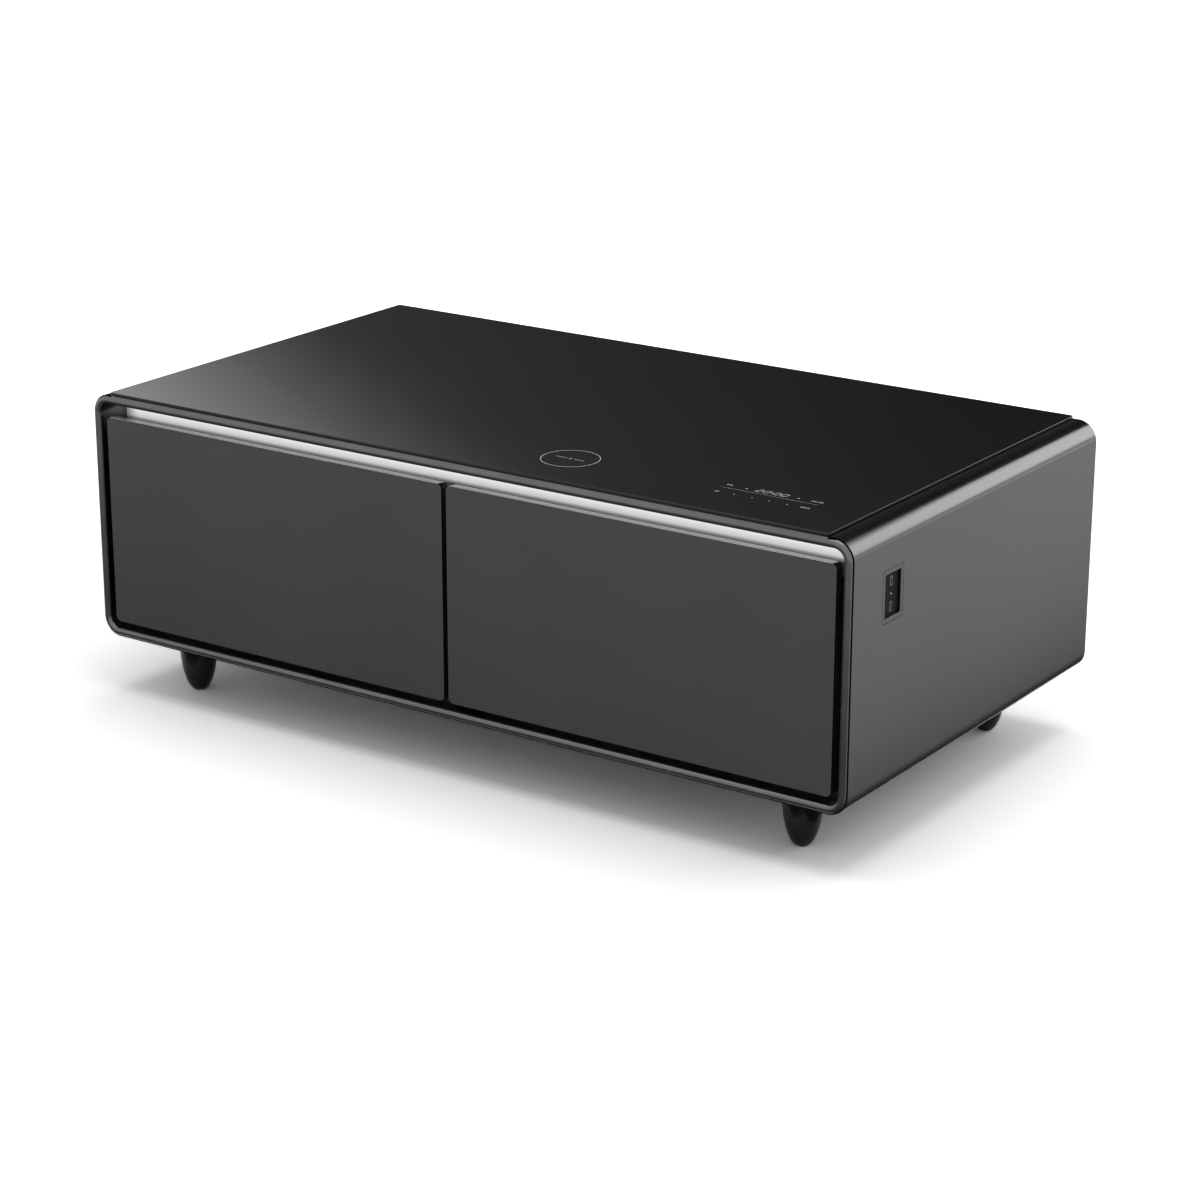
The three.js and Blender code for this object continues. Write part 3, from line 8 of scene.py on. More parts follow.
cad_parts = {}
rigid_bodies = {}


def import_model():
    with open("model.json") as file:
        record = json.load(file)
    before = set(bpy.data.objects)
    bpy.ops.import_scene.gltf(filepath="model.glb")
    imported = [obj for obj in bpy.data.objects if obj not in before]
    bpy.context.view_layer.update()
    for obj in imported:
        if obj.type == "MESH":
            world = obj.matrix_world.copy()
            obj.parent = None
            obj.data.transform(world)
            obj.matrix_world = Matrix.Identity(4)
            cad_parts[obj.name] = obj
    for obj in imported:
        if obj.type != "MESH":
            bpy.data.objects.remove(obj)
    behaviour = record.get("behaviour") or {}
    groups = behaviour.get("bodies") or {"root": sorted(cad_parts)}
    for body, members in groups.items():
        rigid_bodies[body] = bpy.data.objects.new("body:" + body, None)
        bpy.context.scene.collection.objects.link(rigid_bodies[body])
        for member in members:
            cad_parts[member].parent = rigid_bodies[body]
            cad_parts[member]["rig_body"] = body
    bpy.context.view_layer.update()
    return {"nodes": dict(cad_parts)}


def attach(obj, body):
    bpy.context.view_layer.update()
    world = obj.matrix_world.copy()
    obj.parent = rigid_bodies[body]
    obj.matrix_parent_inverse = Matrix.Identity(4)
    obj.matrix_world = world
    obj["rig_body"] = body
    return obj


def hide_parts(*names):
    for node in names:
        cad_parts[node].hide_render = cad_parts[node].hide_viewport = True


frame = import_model()
nodes = frame["nodes"]
slotOf = {name: node.material_slots[0].material.name for name, node in nodes.items()}
bodyOf = {name: node["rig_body"] for name, node in nodes.items()}
print("frame loaded:", len(nodes), "nodes")

# sizes that several pieces share, in metres
table = {
    "half": 0.65, "front": -0.35, "back": 0.35,  # outside of the case, ring and back edge
    "bottom": 0.09, "top": 0.468, "corner": 0.03,
    "caseFront": -0.345, "face": -0.29, "sheet": 0.0015, "gap": 0.0003, "flangeBack": 0.342,
}
# how far a cutting tool reaches past what it cuts, and the edge of a tool
past, toolEdge = 0.002, 0.0001
quarters = (("front_left", -1, -1), ("front_right", 1, -1), ("rear_left", -1, 1), ("rear_right", 1, 1))


# meshes from points, and what finishes them
def addPiece(name, mesh):
    piece = bpy.data.objects.new(name, mesh)
    bpy.context.scene.collection.objects.link(piece)
    return piece


def meshPiece(name, points, faces):
    mesh = bpy.data.meshes.new(name)
    mesh.from_pydata([tuple(p) for p in points], [], faces)
    work = bmesh.new()
    work.from_mesh(mesh)
    bmesh.ops.remove_doubles(work, verts=work.verts, dist=1e-6)
    bmesh.ops.recalc_face_normals(work, faces=work.faces)
    work.to_mesh(mesh)
    work.free()
    return addPiece(name, mesh)


def settle(piece):
    # live modifiers become plain mesh
    bpy.context.view_layer.update()
    shown = piece.evaluated_get(bpy.context.evaluated_depsgraph_get())
    mesh = bpy.data.meshes.new_from_object(shown)
    piece.modifiers.clear()
    piece.data = mesh
    return piece


def polish(piece, bevel=0.0, segments=2, angle=50):
    # rounded edges where asked, then even shading on the flats
    piece.data.shade_smooth()
    if bevel:
        rounding = piece.modifiers.new("rounding", "BEVEL")
        rounding.width = bevel
        rounding.segments = segments
        rounding.limit_method = "ANGLE"
        rounding.angle_limit = radians(angle)
        rounding.use_clamp_overlap = True
    else:
        piece.data.set_sharp_from_angle(angle=radians(angle))
    even = piece.modifiers.new("even", "WEIGHTED_NORMAL")
    even.keep_sharp = True
    return settle(piece)


def cutAway(piece, tools, operation="DIFFERENCE"):
    for tool in tools:
        cut = piece.modifiers.new("cut", "BOOLEAN")
        cut.operation = operation
        cut.solver = "EXACT"
        cut.object = tool
    settle(piece)
    for tool in tools:
        bpy.data.objects.remove(tool)
    return piece


def joinPieces(name, pieces):
    # several plain meshes as one
    work = bmesh.new()
    for piece in pieces:
        work.from_mesh(piece.data)
        bpy.data.objects.remove(piece)
    mesh = bpy.data.meshes.new(name)
    work.to_mesh(mesh)
    work.free()
    return addPiece(name, mesh)


def shrunk(pair, inset):
    return (pair[0] + inset, pair[1] - inset)


def middle(pair):
    return (pair[0] + pair[1]) / 2


def around(centre, length):
    return (centre - length / 2, centre + length / 2)


def span(side, a, b):
    # ends in rising order, on the left (-1) or the right (1) half
    return (-b, -a) if side < 0 else (a, b)


def quarter(steps):
    # sine and cosine at even steps of a quarter turn
    turns = [pi / 2 * i / steps for i in range(steps + 1)]
    return [(sin(turn), cos(turn)) for turn in turns]


def circle(centre, radius, sides, stretch=1.0):
    turns = [2 * pi * i / sides for i in range(sides)]
    return [(centre[0] + radius * stretch * cos(turn), centre[1] + radius * sin(turn)) for turn in turns]


def fourRound(centre, reach):
    # four places round a centre, at a reach each way
    return [(centre[0] + sx * reach[0], centre[1] + sy * reach[1]) for sx in (-1, 1) for sy in (-1, 1)]


def outline(u, v, radius, steps):
    # rounded rectangle, from its lower right corner round to the lower left
    radii = radius if isinstance(radius, (tuple, list)) else (radius,) * 4
    corners = (
        (u[1] - radii[0], v[0] + radii[0]), (u[1] - radii[1], v[1] - radii[1]),
        (u[0] + radii[2], v[1] - radii[2]), (u[0] + radii[3], v[0] + radii[3]),
    )
    points = []
    for corner, (cu, cv) in enumerate(corners):
        for i in range(steps + 1):
            turn = pi / 2 * (corner - 1 + i / steps)
            points.append((cu + radii[corner] * cos(turn), cv + radii[corner] * sin(turn)))
    return points


def placed(axis, a, b, depth):
    return {"x": (depth, a, b), "y": (a, depth, b), "z": (a, b, depth)}[axis]


def skinPiece(name, rings, closed=False):
    # skin over rings of equal count: a closed loop, or capped at both ends
    count = len(rings[0])
    faces = []
    for i in range(len(rings) if closed else len(rings) - 1):
        here, there = i * count, (i + 1) % len(rings) * count
        for j in range(count):
            k = (j + 1) % count
            faces.append((here + j, here + k, there + k, there + j))
    if not closed:
        last = (len(rings) - 1) * count
        faces.append(tuple(range(count))[::-1])
        faces.append(tuple(range(last, last + count)))
    return meshPiece(name, [p for ring in rings for p in ring], faces)


def platePiece(name, u, v, radius, ends, axis, edge=0.0005, steps=8, edgeSteps=3):
    # rounded rectangle pushed along an axis, with rounded edges
    rows = [(edge * (1 - s), ends[0] + edge * (1 - c)) for s, c in quarter(edgeSteps)]
    rows += [(inset, ends[0] + ends[1] - depth) for inset, depth in reversed(rows)]
    rings = []
    for inset, depth in rows:
        corner = max(radius - inset, 0.00005)
        ring = outline(shrunk(u, inset), shrunk(v, inset), corner, steps)
        rings.append([placed(axis, a, b, depth) for a, b in ring])
    return skinPiece(name, rings)


def carriedRound(name, x, z, radius, section, steps):
    # section of (inset, y) carried round a standing rectangle
    rings = []
    for inset, y in section:
        corner = max(radius - inset, table["sheet"])
        rings.append([(a, y, b) for a, b in outline(shrunk(x, inset), shrunk(z, inset), corner, steps)])
    return skinPiece(name, rings, closed=True)


def platePunch(u, v, radius, ends, axis, steps=8):
    # the same shape as a tool, all but sharp at its ends
    return platePiece("punch", u, v, radius, ends, axis, toolEdge, steps)


def turnedPiece(name, profile, centre, axis="z", sides=48, stretch=1.0):
    # profile of (radius, height) that starts and ends on the axis
    points, faces = [], []
    for radius, height in profile[1:-1]:
        points += [placed(axis, a, b, height) for a, b in circle(centre, radius, sides, stretch)]
    last = len(points) - sides
    low, high = len(points), len(points) + 1
    points += [placed(axis, *centre, profile[0][1]), placed(axis, *centre, profile[-1][1])]
    for j in range(sides):
        k = (j + 1) % sides
        faces += [(i + j, i + k, i + sides + k, i + sides + j) for i in range(0, last, sides)]
        faces += [(low, k, j), (high, last + j, last + k)]
    return meshPiece(name, points, faces)


def turnedRing(name, section, centre, axis="z", sides=48):
    # closed section of (radius, height) carried round an axis
    rings = [[placed(axis, a, b, height) for a, b in circle(centre, radius, sides)]
             for radius, height in section]
    return skinPiece(name, rings, closed=True)


def rodPiece(name, radius, centre, ends, axis, sides=48):
    profile = [(0, ends[0]), (radius, ends[0]), (radius, ends[1]), (0, ends[1])]
    return turnedPiece(name, profile, centre, axis, sides)


def boxPiece(name, x, y, z, edge=0.0):
    if edge:
        return platePiece(name, x, y, edge, z, "z", edge=edge, steps=2, edgeSteps=2)
    points = [(a, b, c) for c in z for b in y for a in x]
    faces = [(0, 2, 3, 1), (4, 5, 7, 6), (0, 1, 5, 4), (2, 6, 7, 3), (0, 4, 6, 2), (1, 3, 7, 5)]
    return meshPiece(name, points, faces)


def pushedPiece(name, points, ends, axis):
    # any closed outline of (a, b) points pushed along an axis
    rings = [[placed(axis, a, b, depth) for a, b in points] for depth in ends]
    return skinPiece(name, rings)


def smoothRoute(points, steps=8):
    # centripetal curve through a few points
    points = [Vector(p) for p in points]
    points = [points[0] * 2 - points[1], *points, points[-1] * 2 - points[-2]]
    route = []
    for i in range(1, len(points) - 2):
        p0, p1, p2, p3 = points[i - 1:i + 3]
        t1 = (p1 - p0).length ** 0.5
        t2 = t1 + (p2 - p1).length ** 0.5
        t3 = t2 + (p3 - p2).length ** 0.5
        for k in range(steps):
            t = t1 + (t2 - t1) * k / steps
            a1, a2 = p0.lerp(p1, t / t1), p1.lerp(p2, (t - t1) / (t2 - t1))
            a3 = p2.lerp(p3, (t - t2) / (t3 - t2))
            b1, b2 = a1.lerp(a2, t / t2), a2.lerp(a3, (t - t1) / (t3 - t1))
            route.append(b1.lerp(b2, (t - t1) / (t2 - t1)))
    route.append(points[-2])
    return route


def pipePiece(name, route, radius, sides=20):
    # round tube along a route
    route = [Vector(p) for p in route]
    side = (route[1] - route[0]).orthogonal().normalized()
    rings = []
    for i, point in enumerate(route):
        along = (route[min(i + 1, len(route) - 1)] - route[max(i - 1, 0)]).normalized()
        side = (side - along * side.dot(along)).normalized()
        other = along.cross(side)
        rings.append([point + (side * a + other * b) * radius for a, b in circle((0, 0), 1, sides)])
    return skinPiece(name, rings)


# node trees, for shaders and for shapes
def fillInputs(tree, node, inputs):
    # each input gets a value, a socket, or the first output of a node
    for name, value in inputs.items():
        if isinstance(value, bpy.types.Node):
            value = value.outputs[0]
        if isinstance(value, bpy.types.NodeSocket):
            tree.links.new(value, node.inputs[name])
        else:
            node.inputs[name].default_value = value
    return node


def addNode(tree, kind, inputs=None, **settings):
    node = tree.nodes.new(kind)
    for name, value in settings.items():
        setattr(node, name, value)
    return fillInputs(tree, node, inputs or {})


def calc(tree, operation, *values):
    return addNode(tree, "ShaderNodeMath", dict(enumerate(values)), operation=operation)


def vectorCalc(tree, operation, *values):
    return addNode(tree, "ShaderNodeVectorMath", dict(enumerate(values)), operation=operation)


def combine(tree, **parts):
    return addNode(tree, "ShaderNodeCombineXYZ", {name.upper(): value for name, value in parts.items()})


def newTree(name, kind, inputs, outputs):
    # inputs of (name, kind, value) and outputs of (name, kind)
    tree = bpy.data.node_groups.new(name, kind)
    for label, what, value in inputs:
        socket = tree.interface.new_socket(label, in_out="INPUT", socket_type="NodeSocket" + what)
        if value is not None:
            socket.default_value = value
    for label, what in outputs:
        tree.interface.new_socket(label, in_out="OUTPUT", socket_type="NodeSocket" + what)
    return tree, tree.nodes.new("NodeGroupInput").outputs, tree.nodes.new("NodeGroupOutput")


def endTree(tree, end, **results):
    fillInputs(tree, end, results)
    return tree


def newShapeTree(name, inputs):
    inputs = [("Shape", "Geometry", None), *inputs, ("Finish", "Material", None)]
    return newTree(name, "GeometryNodeTree", inputs, [("Shape", "Geometry")])


def endShapeTree(tree, given, end, shape):
    real = addNode(tree, "GeometryNodeRealizeInstances", {0: shape})
    covered = addNode(tree, "GeometryNodeSetMaterial", {0: real, "Material": given["Finish"]})
    return endTree(tree, end, Shape=covered)


def lineOf(tree, count, step, **inputs):
    return addNode(tree, "GeometryNodeMeshLine", {"Count": count, "Offset": step, **inputs})


def copiesOn(tree, points, shape, **inputs):
    return addNode(tree, "GeometryNodeInstanceOnPoints", {"Points": points, "Instance": shape, **inputs})


def rowsTree():
    # copies of a shape in rows: a count and a step each way
    tree, given, end = newShapeTree("rowsOfCopies", [
        ("Row Count", "Int", 2), ("Row Step", "Vector", (0.01, 0, 0)),
        ("Level Count", "Int", 1), ("Level Step", "Vector", (0, 0, 0.01))])
    shape = given["Shape"]
    for way in ("Row", "Level"):
        shape = copiesOn(tree, lineOf(tree, given[way + " Count"], given[way + " Step"]), shape)
    return endShapeTree(tree, given, end, shape)


def roundTree():
    # copies of a shape turned round the Y axis through a centre
    tree, given, end = newShapeTree("copiesRound", [("Count", "Int", 5), ("Centre", "Vector", (0, 0, 0))])
    points = lineOf(tree, given["Count"], (0, 0, 0), **{"Start Location": given["Centre"]})
    share = calc(tree, "DIVIDE", addNode(tree, "GeometryNodeInputIndex"), given["Count"])
    facing = combine(tree, y=calc(tree, "MULTIPLY", share, 2 * pi))
    rotation = addNode(tree, "FunctionNodeEulerToRotation", {0: facing})
    return endShapeTree(tree, given, end, copiesOn(tree, points, given["Shape"], Rotation=rotation))


def screwTree():
    # cross-head screws on the points of the shape, all facing one way
    tree, given, end = newShapeTree("crossScrews", [
        ("Head Radius", "Float", 0.004), ("Head Height", "Float", 0.002), ("Cross Length", "Float", 0.0045),
        ("Cross Width", "Float", 0.0009), ("Facing", "Vector", (0, 0, 0))])
    radius, height = given["Head Radius"], given["Head Height"]
    wide, narrow = given["Cross Length"], given["Cross Width"]
    head = addNode(tree, "GeometryNodeMeshCone", {
        "Vertices": 24, "Side Segments": 3, "Radius Top": calc(tree, "MULTIPLY", radius, 0.66),
        "Radius Bottom": radius, "Depth": height})
    lift = combine(tree, z=calc(tree, "MULTIPLY", height, 0.95))
    cut = addNode(tree, "GeometryNodeMeshBoolean", {0: head}, operation="DIFFERENCE")
    for x, y in ((wide, narrow), (narrow, wide)):
        bar = addNode(tree, "GeometryNodeMeshCube", {"Size": combine(tree, x=x, y=y, z=height)})
        cutter = addNode(tree, "GeometryNodeTransform", {"Geometry": bar, "Translation": lift})
        fillInputs(tree, cut, {1: cutter})
    rotation = addNode(tree, "FunctionNodeEulerToRotation", {0: given["Facing"]})
    return endShapeTree(tree, given, end, copiesOn(tree, given["Shape"], cut, Rotation=rotation))


def finTree():
    # stack of thin corrugated fins along X, from a corner
    tree, given, end = newShapeTree("finStack", [
        ("Start", "Vector", (0, 0, 0)), ("Count", "Int", 60), ("Pitch", "Float", 0.0035),
        ("Fin Size", "Vector", (0.0003, 0.044, 0.19)), ("Wave", "Float", 0.0006), ("Waves", "Float", 330.0)])
    fin = addNode(tree, "GeometryNodeMeshCube", {
        "Size": given["Fin Size"], "Vertices X": 2, "Vertices Y": 2, "Vertices Z": 33})
    apart = addNode(tree, "ShaderNodeSeparateXYZ", {0: addNode(tree, "GeometryNodeInputPosition")})
    swing = calc(tree, "SINE", calc(tree, "MULTIPLY", apart.outputs["Z"], given["Waves"]))
    offset = combine(tree, x=calc(tree, "MULTIPLY", swing, given["Wave"]))
    waved = addNode(tree, "GeometryNodeSetPosition", {"Geometry": fin, "Offset": offset})
    half = addNode(tree, "ShaderNodeVectorMath", {0: given["Fin Size"], "Scale": 0.5}, operation="SCALE")
    start = vectorCalc(tree, "ADD", given["Start"], half)
    row = lineOf(tree, given["Count"], combine(tree, x=given["Pitch"]), **{"Start Location": start})
    return endShapeTree(tree, given, end, copiesOn(tree, row, waved))


def ballTree():
    # row of balls along Y
    tree, given, end = newShapeTree("ballRow", [
        ("Ball Radius", "Float", 0.0013), ("Count", "Int", 5), ("Pitch", "Float", 0.009)])
    ball = addNode(tree, "GeometryNodeMeshUVSphere",
                   {"Segments": 16, "Rings": 10, "Radius": given["Ball Radius"]})
    soft = addNode(tree, "GeometryNodeSetShadeSmooth", {0: ball})
    beads = copiesOn(tree, lineOf(tree, given["Count"], combine(tree, y=given["Pitch"])), soft)
    return endShapeTree(tree, given, end, copiesOn(tree, given["Shape"], beads))


trees = {"rows": rowsTree(), "round": roundTree(), "screws": screwTree(), "fins": finTree(),
         "balls": ballTree()}


def grow(piece, tree, finish=None, **values):
    # run one of the trees on a piece, then keep the result as plain mesh
    given = {item.name: item.identifier for item in trees[tree].interface.items_tree
             if item.in_out == "INPUT"}
    growth = piece.modifiers.new("growth", "NODES")
    growth.node_group = trees[tree]
    for name, value in values.items():
        growth[given[name]] = value
    if finish:
        growth[given["Finish"]] = made[finish]
    return settle(piece)


def pointsPiece(name, points):
    mesh = bpy.data.meshes.new(name)
    mesh.from_pydata([tuple(p) for p in points], [], [])
    return addPiece(name, mesh)


def inRow(piece, count, step, finish=None):
    return grow(piece, "rows", finish, **{"Row Count": count, "Row Step": step})


def spread(tree, value, start=0.0, end=1.0, low=0.0, high=1.0, ease="LINEAR"):
    # what lies from start to end, drawn out from low to high
    return addNode(tree, "ShaderNodeMapRange", {
        "Value": value, "From Min": start, "From Max": end, "To Min": low, "To Max": high},
        interpolation_type=ease)


def mixShades(tree, share, one, other):
    return addNode(tree, "ShaderNodeMix", {0: share, 6: one, 7: other}, data_type="RGBA").outputs[2]


def newGroup(name, inputs, outputs):
    return newTree(name, "ShaderNodeTree", [("Vector", "Vector", None), *inputs], outputs)


def useGroup(tree, key, **inputs):
    node = addNode(tree, "ShaderNodeGroup", node_tree=groups[key])
    return fillInputs(tree, node, inputs).outputs


def mottleGroup():
    # slow drift between two shades, and a mask that roughness can follow
    group, given, end = newGroup(
        "slowMottle", [("Scale", "Float", 8.0), ("Dark", "Color", (0, 0, 0, 1)),
                       ("Light", "Color", (1, 1, 1, 1))],
        [("Color", "Color"), ("Mask", "Float")])
    noise = addNode(group, "ShaderNodeTexNoise", {
        "Vector": given["Vector"], "Scale": given["Scale"], "Detail": 5.0, "Roughness": 0.6})
    mask = spread(group, noise, 0.32, 0.68)
    return endTree(group, end, Color=mixShades(group, mask, given["Dark"], given["Light"]), Mask=mask)


def grainGroup():
    # orange peel of sprayed paint or the spark texture of a mould
    group, given, end = newGroup(
        "fineGrain", [("Scale", "Float", 700.0), ("Sharpness", "Float", 0.5)], [("Height", "Float")])
    noise = addNode(group, "ShaderNodeTexNoise", {
        "Vector": given["Vector"], "Scale": given["Scale"], "Detail": 2.0, "Roughness": given["Sharpness"]})
    return endTree(group, end, Height=noise)


def speckGroup():
    # sparse dust: a few cells of a fine pattern carry a round fleck
    group, given, end = newGroup(
        "dustSpecks", [("Scale", "Float", 60.0), ("Size", "Float", 0.05), ("Share", "Float", 0.03)],
        [("Mask", "Float")])
    cells = addNode(group, "ShaderNodeTexVoronoi", {"Vector": given["Vector"], "Scale": given["Scale"]})
    inside = calc(group, "LESS_THAN", cells.outputs["Distance"], given["Size"])
    pick = addNode(group, "ShaderNodeSeparateColor", {0: cells.outputs["Color"]})
    chosen = calc(group, "LESS_THAN", pick, given["Share"])
    return endTree(group, end, Mask=calc(group, "MULTIPLY", inside, chosen))


def brushGroup():
    # long fine lines of rolled or drawn metal, along the axis whose stretch is smallest
    group, given, end = newGroup(
        "drawnLines", [("Stretch", "Vector", (900.0, 12.0, 900.0))], [("Height", "Float"), ("Mask", "Float")])
    stretched = vectorCalc(group, "MULTIPLY", given["Vector"], given["Stretch"])
    noise = addNode(group, "ShaderNodeTexNoise", {
        "Vector": stretched, "Scale": 1.0, "Detail": 3.0, "Roughness": 0.65})
    return endTree(group, end, Height=noise, Mask=spread(group, noise, 0.3, 0.7))


def bandGroup():
    # mask of what lies past a depth along one direction, with a soft edge
    group, given, end = newGroup(
        "depthBand", [("Direction", "Vector", (0.0, 1.0, 0.0)), ("From", "Float", 0.0),
                      ("To", "Float", 0.001)],
        [("Mask", "Float")])
    along = vectorCalc(group, "DOT_PRODUCT", given["Vector"], given["Direction"]).outputs["Value"]
    return endTree(group, end, Mask=spread(group, along, given["From"], given["To"]))


groups = {
    "mottle": mottleGroup(), "grain": grainGroup(), "specks": speckGroup(), "lines": brushGroup(),
    "band": bandGroup(),
}


def newMaterial(name):
    material = bpy.data.materials.new(name)
    material.use_nodes = True
    tree = material.node_tree
    shader = tree.nodes["Principled BSDF"]
    where = addNode(tree, "ShaderNodeTexCoord").outputs["Object"]
    return material, tree, shader, where


def grey(level, blue=0.0):
    return (level, level, level * (1 + blue), 1)


def tint(red, green, blue):
    return (red, green, blue, 1)


def lookOf(dark, light, rough, mottle, grain=None, lines=None, metal=0.0, ior=1.5, band=None):
    # two shades, roughness from and to, scale of the mottling, grain as (scale, depth in metres) or lines as
    # a stretch, metal share, index, and a band of painted shade as (direction, from, to) over edges in gaps
    return {"dark": dark, "light": light, "rough": rough, "mottle": mottle, "grain": grain, "lines": lines,
            "metal": metal, "ior": ior, "band": band}


finishes = {
    # painted shade: the front edge of the wrap, in the seam behind the ring, is near black
    "case_paint": lookOf(grey(0.094, 0.04), grey(0.1, 0.04), (0.2, 0.225), 3.0, metal=1.0,
                         grain=(900.0, 0.000006), band=((0.0, -1.0, 0.0), 0.3444, 0.3447)),
    "ring_paint": lookOf(grey(0.13), grey(0.155), (0.3, 0.36), 14.0, metal=1.0, grain=(1200.0, 0.000006)),
    "black_paint": lookOf(grey(0.006), grey(0.01), (0.4, 0.5), 12.0, metal=0.2, grain=(1000.0, 0.00001)),
    "black_plastic": lookOf(grey(0.008), grey(0.013), (0.42, 0.55), 20.0, grain=(1500.0, 0.00002)),
    "foot_gloss": lookOf(grey(0.003), grey(0.005), (0.2, 0.25), 18.0, ior=1.32, grain=(600.0, 0.000004)),
    "liner_white": lookOf(tint(0.81, 0.825, 0.825), tint(0.83, 0.842, 0.842), (0.33, 0.38), 5.0,
                          grain=(500.0, 0.00001)),
    "tub_plastic": lookOf(tint(0.735, 0.745, 0.755), tint(0.75, 0.76, 0.77), (0.28, 0.33), 7.0,
                          grain=(800.0, 0.000012)),
    "foam": lookOf(tint(0.62, 0.5, 0.24), tint(0.78, 0.66, 0.36), (0.8, 0.95), 22.0, grain=(320.0, 0.0006)),
    "gasket_rubber": lookOf(grey(0.02), grey(0.032), (0.6, 0.75), 25.0, grain=(900.0, 0.00003)),
    "zinc_steel": lookOf(grey(0.42, 0.03), grey(0.6, 0.04), (0.28, 0.42), 90.0, metal=1.0,
                         grain=(260.0, 0.000015)),
    "aluminium": lookOf(grey(0.55, 0.01), grey(0.68, 0.01), (0.28, 0.4), 12.0, metal=1.0,
                        lines=(900.0, 900.0, 14.0)),
    "copper": lookOf(tint(0.42, 0.16, 0.075), tint(0.68, 0.3, 0.15), (0.22, 0.45), 30.0, metal=1.0,
                     lines=(40.0, 900.0, 900.0)),
    "compressor_paint": lookOf(grey(0.01), grey(0.016), (0.28, 0.4), 16.0, metal=0.1, grain=(260.0, 0.00005)),
    "circuit_board": lookOf(tint(0.008, 0.05, 0.02), tint(0.015, 0.085, 0.032), (0.3, 0.45), 60.0,
                            grain=(700.0, 0.00001)),
    # painted shade: the bezel's walls inside its opening, a recess, are near black
    "bezel_plastic": lookOf(grey(0.06), grey(0.075), (0.35, 0.45), 40.0, grain=(1800.0, 0.000015),
                            band=((-1.0, 0.0, 0.0), -0.6493, -0.6489)),
    "socket_black": lookOf(grey(0.002), grey(0.003), (0.5, 0.6), 60.0, ior=1.18, grain=(1800.0, 0.00001)),
    "grommet_rubber": lookOf(grey(0.014), grey(0.024), (0.7, 0.85), 60.0, grain=(900.0, 0.00004)),
    # painted shade: the pane's edges, in the gaps round it, are near black
    "front_glass": lookOf(grey(0.069), grey(0.077), (0.1, 0.14), 2.5, grain=(400.0, 0.0000005),
                          band=((0.0, 1.0, 0.0), -0.3455, -0.3452)),
    "lip_trim": lookOf(grey(0.9), grey(0.95), (0.3, 0.34), 10.0, metal=1.0, lines=(10.0, 900.0, 900.0)),
    "ceramic_white": lookOf(grey(0.62), grey(0.72), (0.4, 0.5), 200.0, grain=(900.0, 0.000005)),
    "phosphor": lookOf(tint(0.75, 0.5, 0.05), tint(0.82, 0.6, 0.08), (0.3, 0.4), 300.0,
                       grain=(900.0, 0.000005)),
    "chip_black": lookOf(grey(0.012), grey(0.022), (0.45, 0.6), 150.0, grain=(1600.0, 0.00001)),
}


def addRamp(tree, share, stops):
    # grey levels by place from 0 to 1
    ramp = addNode(tree, "ShaderNodeValToRGB", {0: share})
    for i, (place, level) in enumerate(stops):
        parts = ramp.color_ramp.elements
        stop = parts[0] if i == 0 else parts[-1] if i == len(stops) - 1 else parts.new(place)
        stop.position = place
        stop.color = grey(level)
    return ramp.outputs[0]


lineDepth = 0.00001

# painted shade: near black laid over edges that lie in seams, gaps and recesses
paintedShade = grey(0.003)


def plainFinish(name, look):
    material, tree, shader, where = newMaterial(name)
    tone = useGroup(tree, "mottle", Vector=where, Scale=look["mottle"], Dark=look["dark"],
                    Light=look["light"])
    if look["lines"]:
        relief, depth = useGroup(tree, "lines", Vector=where, Stretch=look["lines"]), lineDepth
    else:
        scale, depth = look["grain"]
        relief = useGroup(tree, "grain", Vector=where, Scale=scale)
    colour = tone["Color"]
    # a band of painted shade darkens the edges that lie in seams, gaps and recesses
    if look["band"]:
        direction, start, end = look["band"]
        mask = useGroup(tree, "band", Vector=where, Direction=direction, From=start, To=end)["Mask"]
        colour = mixShades(tree, mask, colour, paintedShade)
    low, high = look["rough"]
    fillInputs(tree, shader, {
        "Base Color": colour, "Roughness": spread(tree, tone["Mask"], low=low, high=high),
        "Normal": addNode(tree, "ShaderNodeBump",
                          {"Height": relief["Height"], "Distance": depth, "Strength": 1.0}),
        "Metallic": look["metal"], "IOR": look["ior"]})
    return material


topGlass = {
    "base": grey(0.004), "wiped": grey(0.005), "wipeScale": 3.0, "rough": (0.03, 0.06),
    "dust": grey(0.09), "speckScale": 55.0, "speckSize": 0.045, "speckShare": 0.012,
    "ground": (0.3487, 0.3489), "groundShade": grey(0.003), "groundRough": 0.4,  # ground front edge
}


def topGlassFinish():
    # tempered glass over black print, with a ground front edge, faint wiping marks and a few specks of dust
    look = topGlass
    material, tree, shader, where = newMaterial("top_glass_black")
    specks = useGroup(tree, "specks", Vector=where, Scale=look["speckScale"], Size=look["speckSize"],
                      Share=look["speckShare"])
    tone = useGroup(tree, "mottle", Vector=where, Scale=look["wipeScale"], Dark=look["base"],
                    Light=look["wiped"])
    start, end = look["ground"]
    ground = useGroup(tree, "band", Vector=where, Direction=(0.0, -1.0, 0.0), From=start, To=end)["Mask"]
    colour = mixShades(tree, specks["Mask"], tone["Color"], look["dust"])
    low, high = look["rough"]
    rough = spread(tree, tone["Mask"], low=low, high=high)
    fillInputs(tree, shader, {
        "Base Color": mixShades(tree, ground, colour, look["groundShade"]),
        "Roughness": addNode(tree, "ShaderNodeMix", {0: ground, 2: rough, 3: look["groundRough"]}),
        "IOR": 1.5})
    return material


opal = {
    "low": 0.4186, "high": 0.4396, "half": 0.64, "endFade": 0.03, "endShare": 0.25, "shade": grey(0.08),
    "rough": 0.4,
    "fade": ((0.0, 0.16), (0.12, 0.2), (0.2, 0.42), (0.3, 0.58), (0.55, 0.7), (0.75, 0.84), (1.0, 0.88)),
}


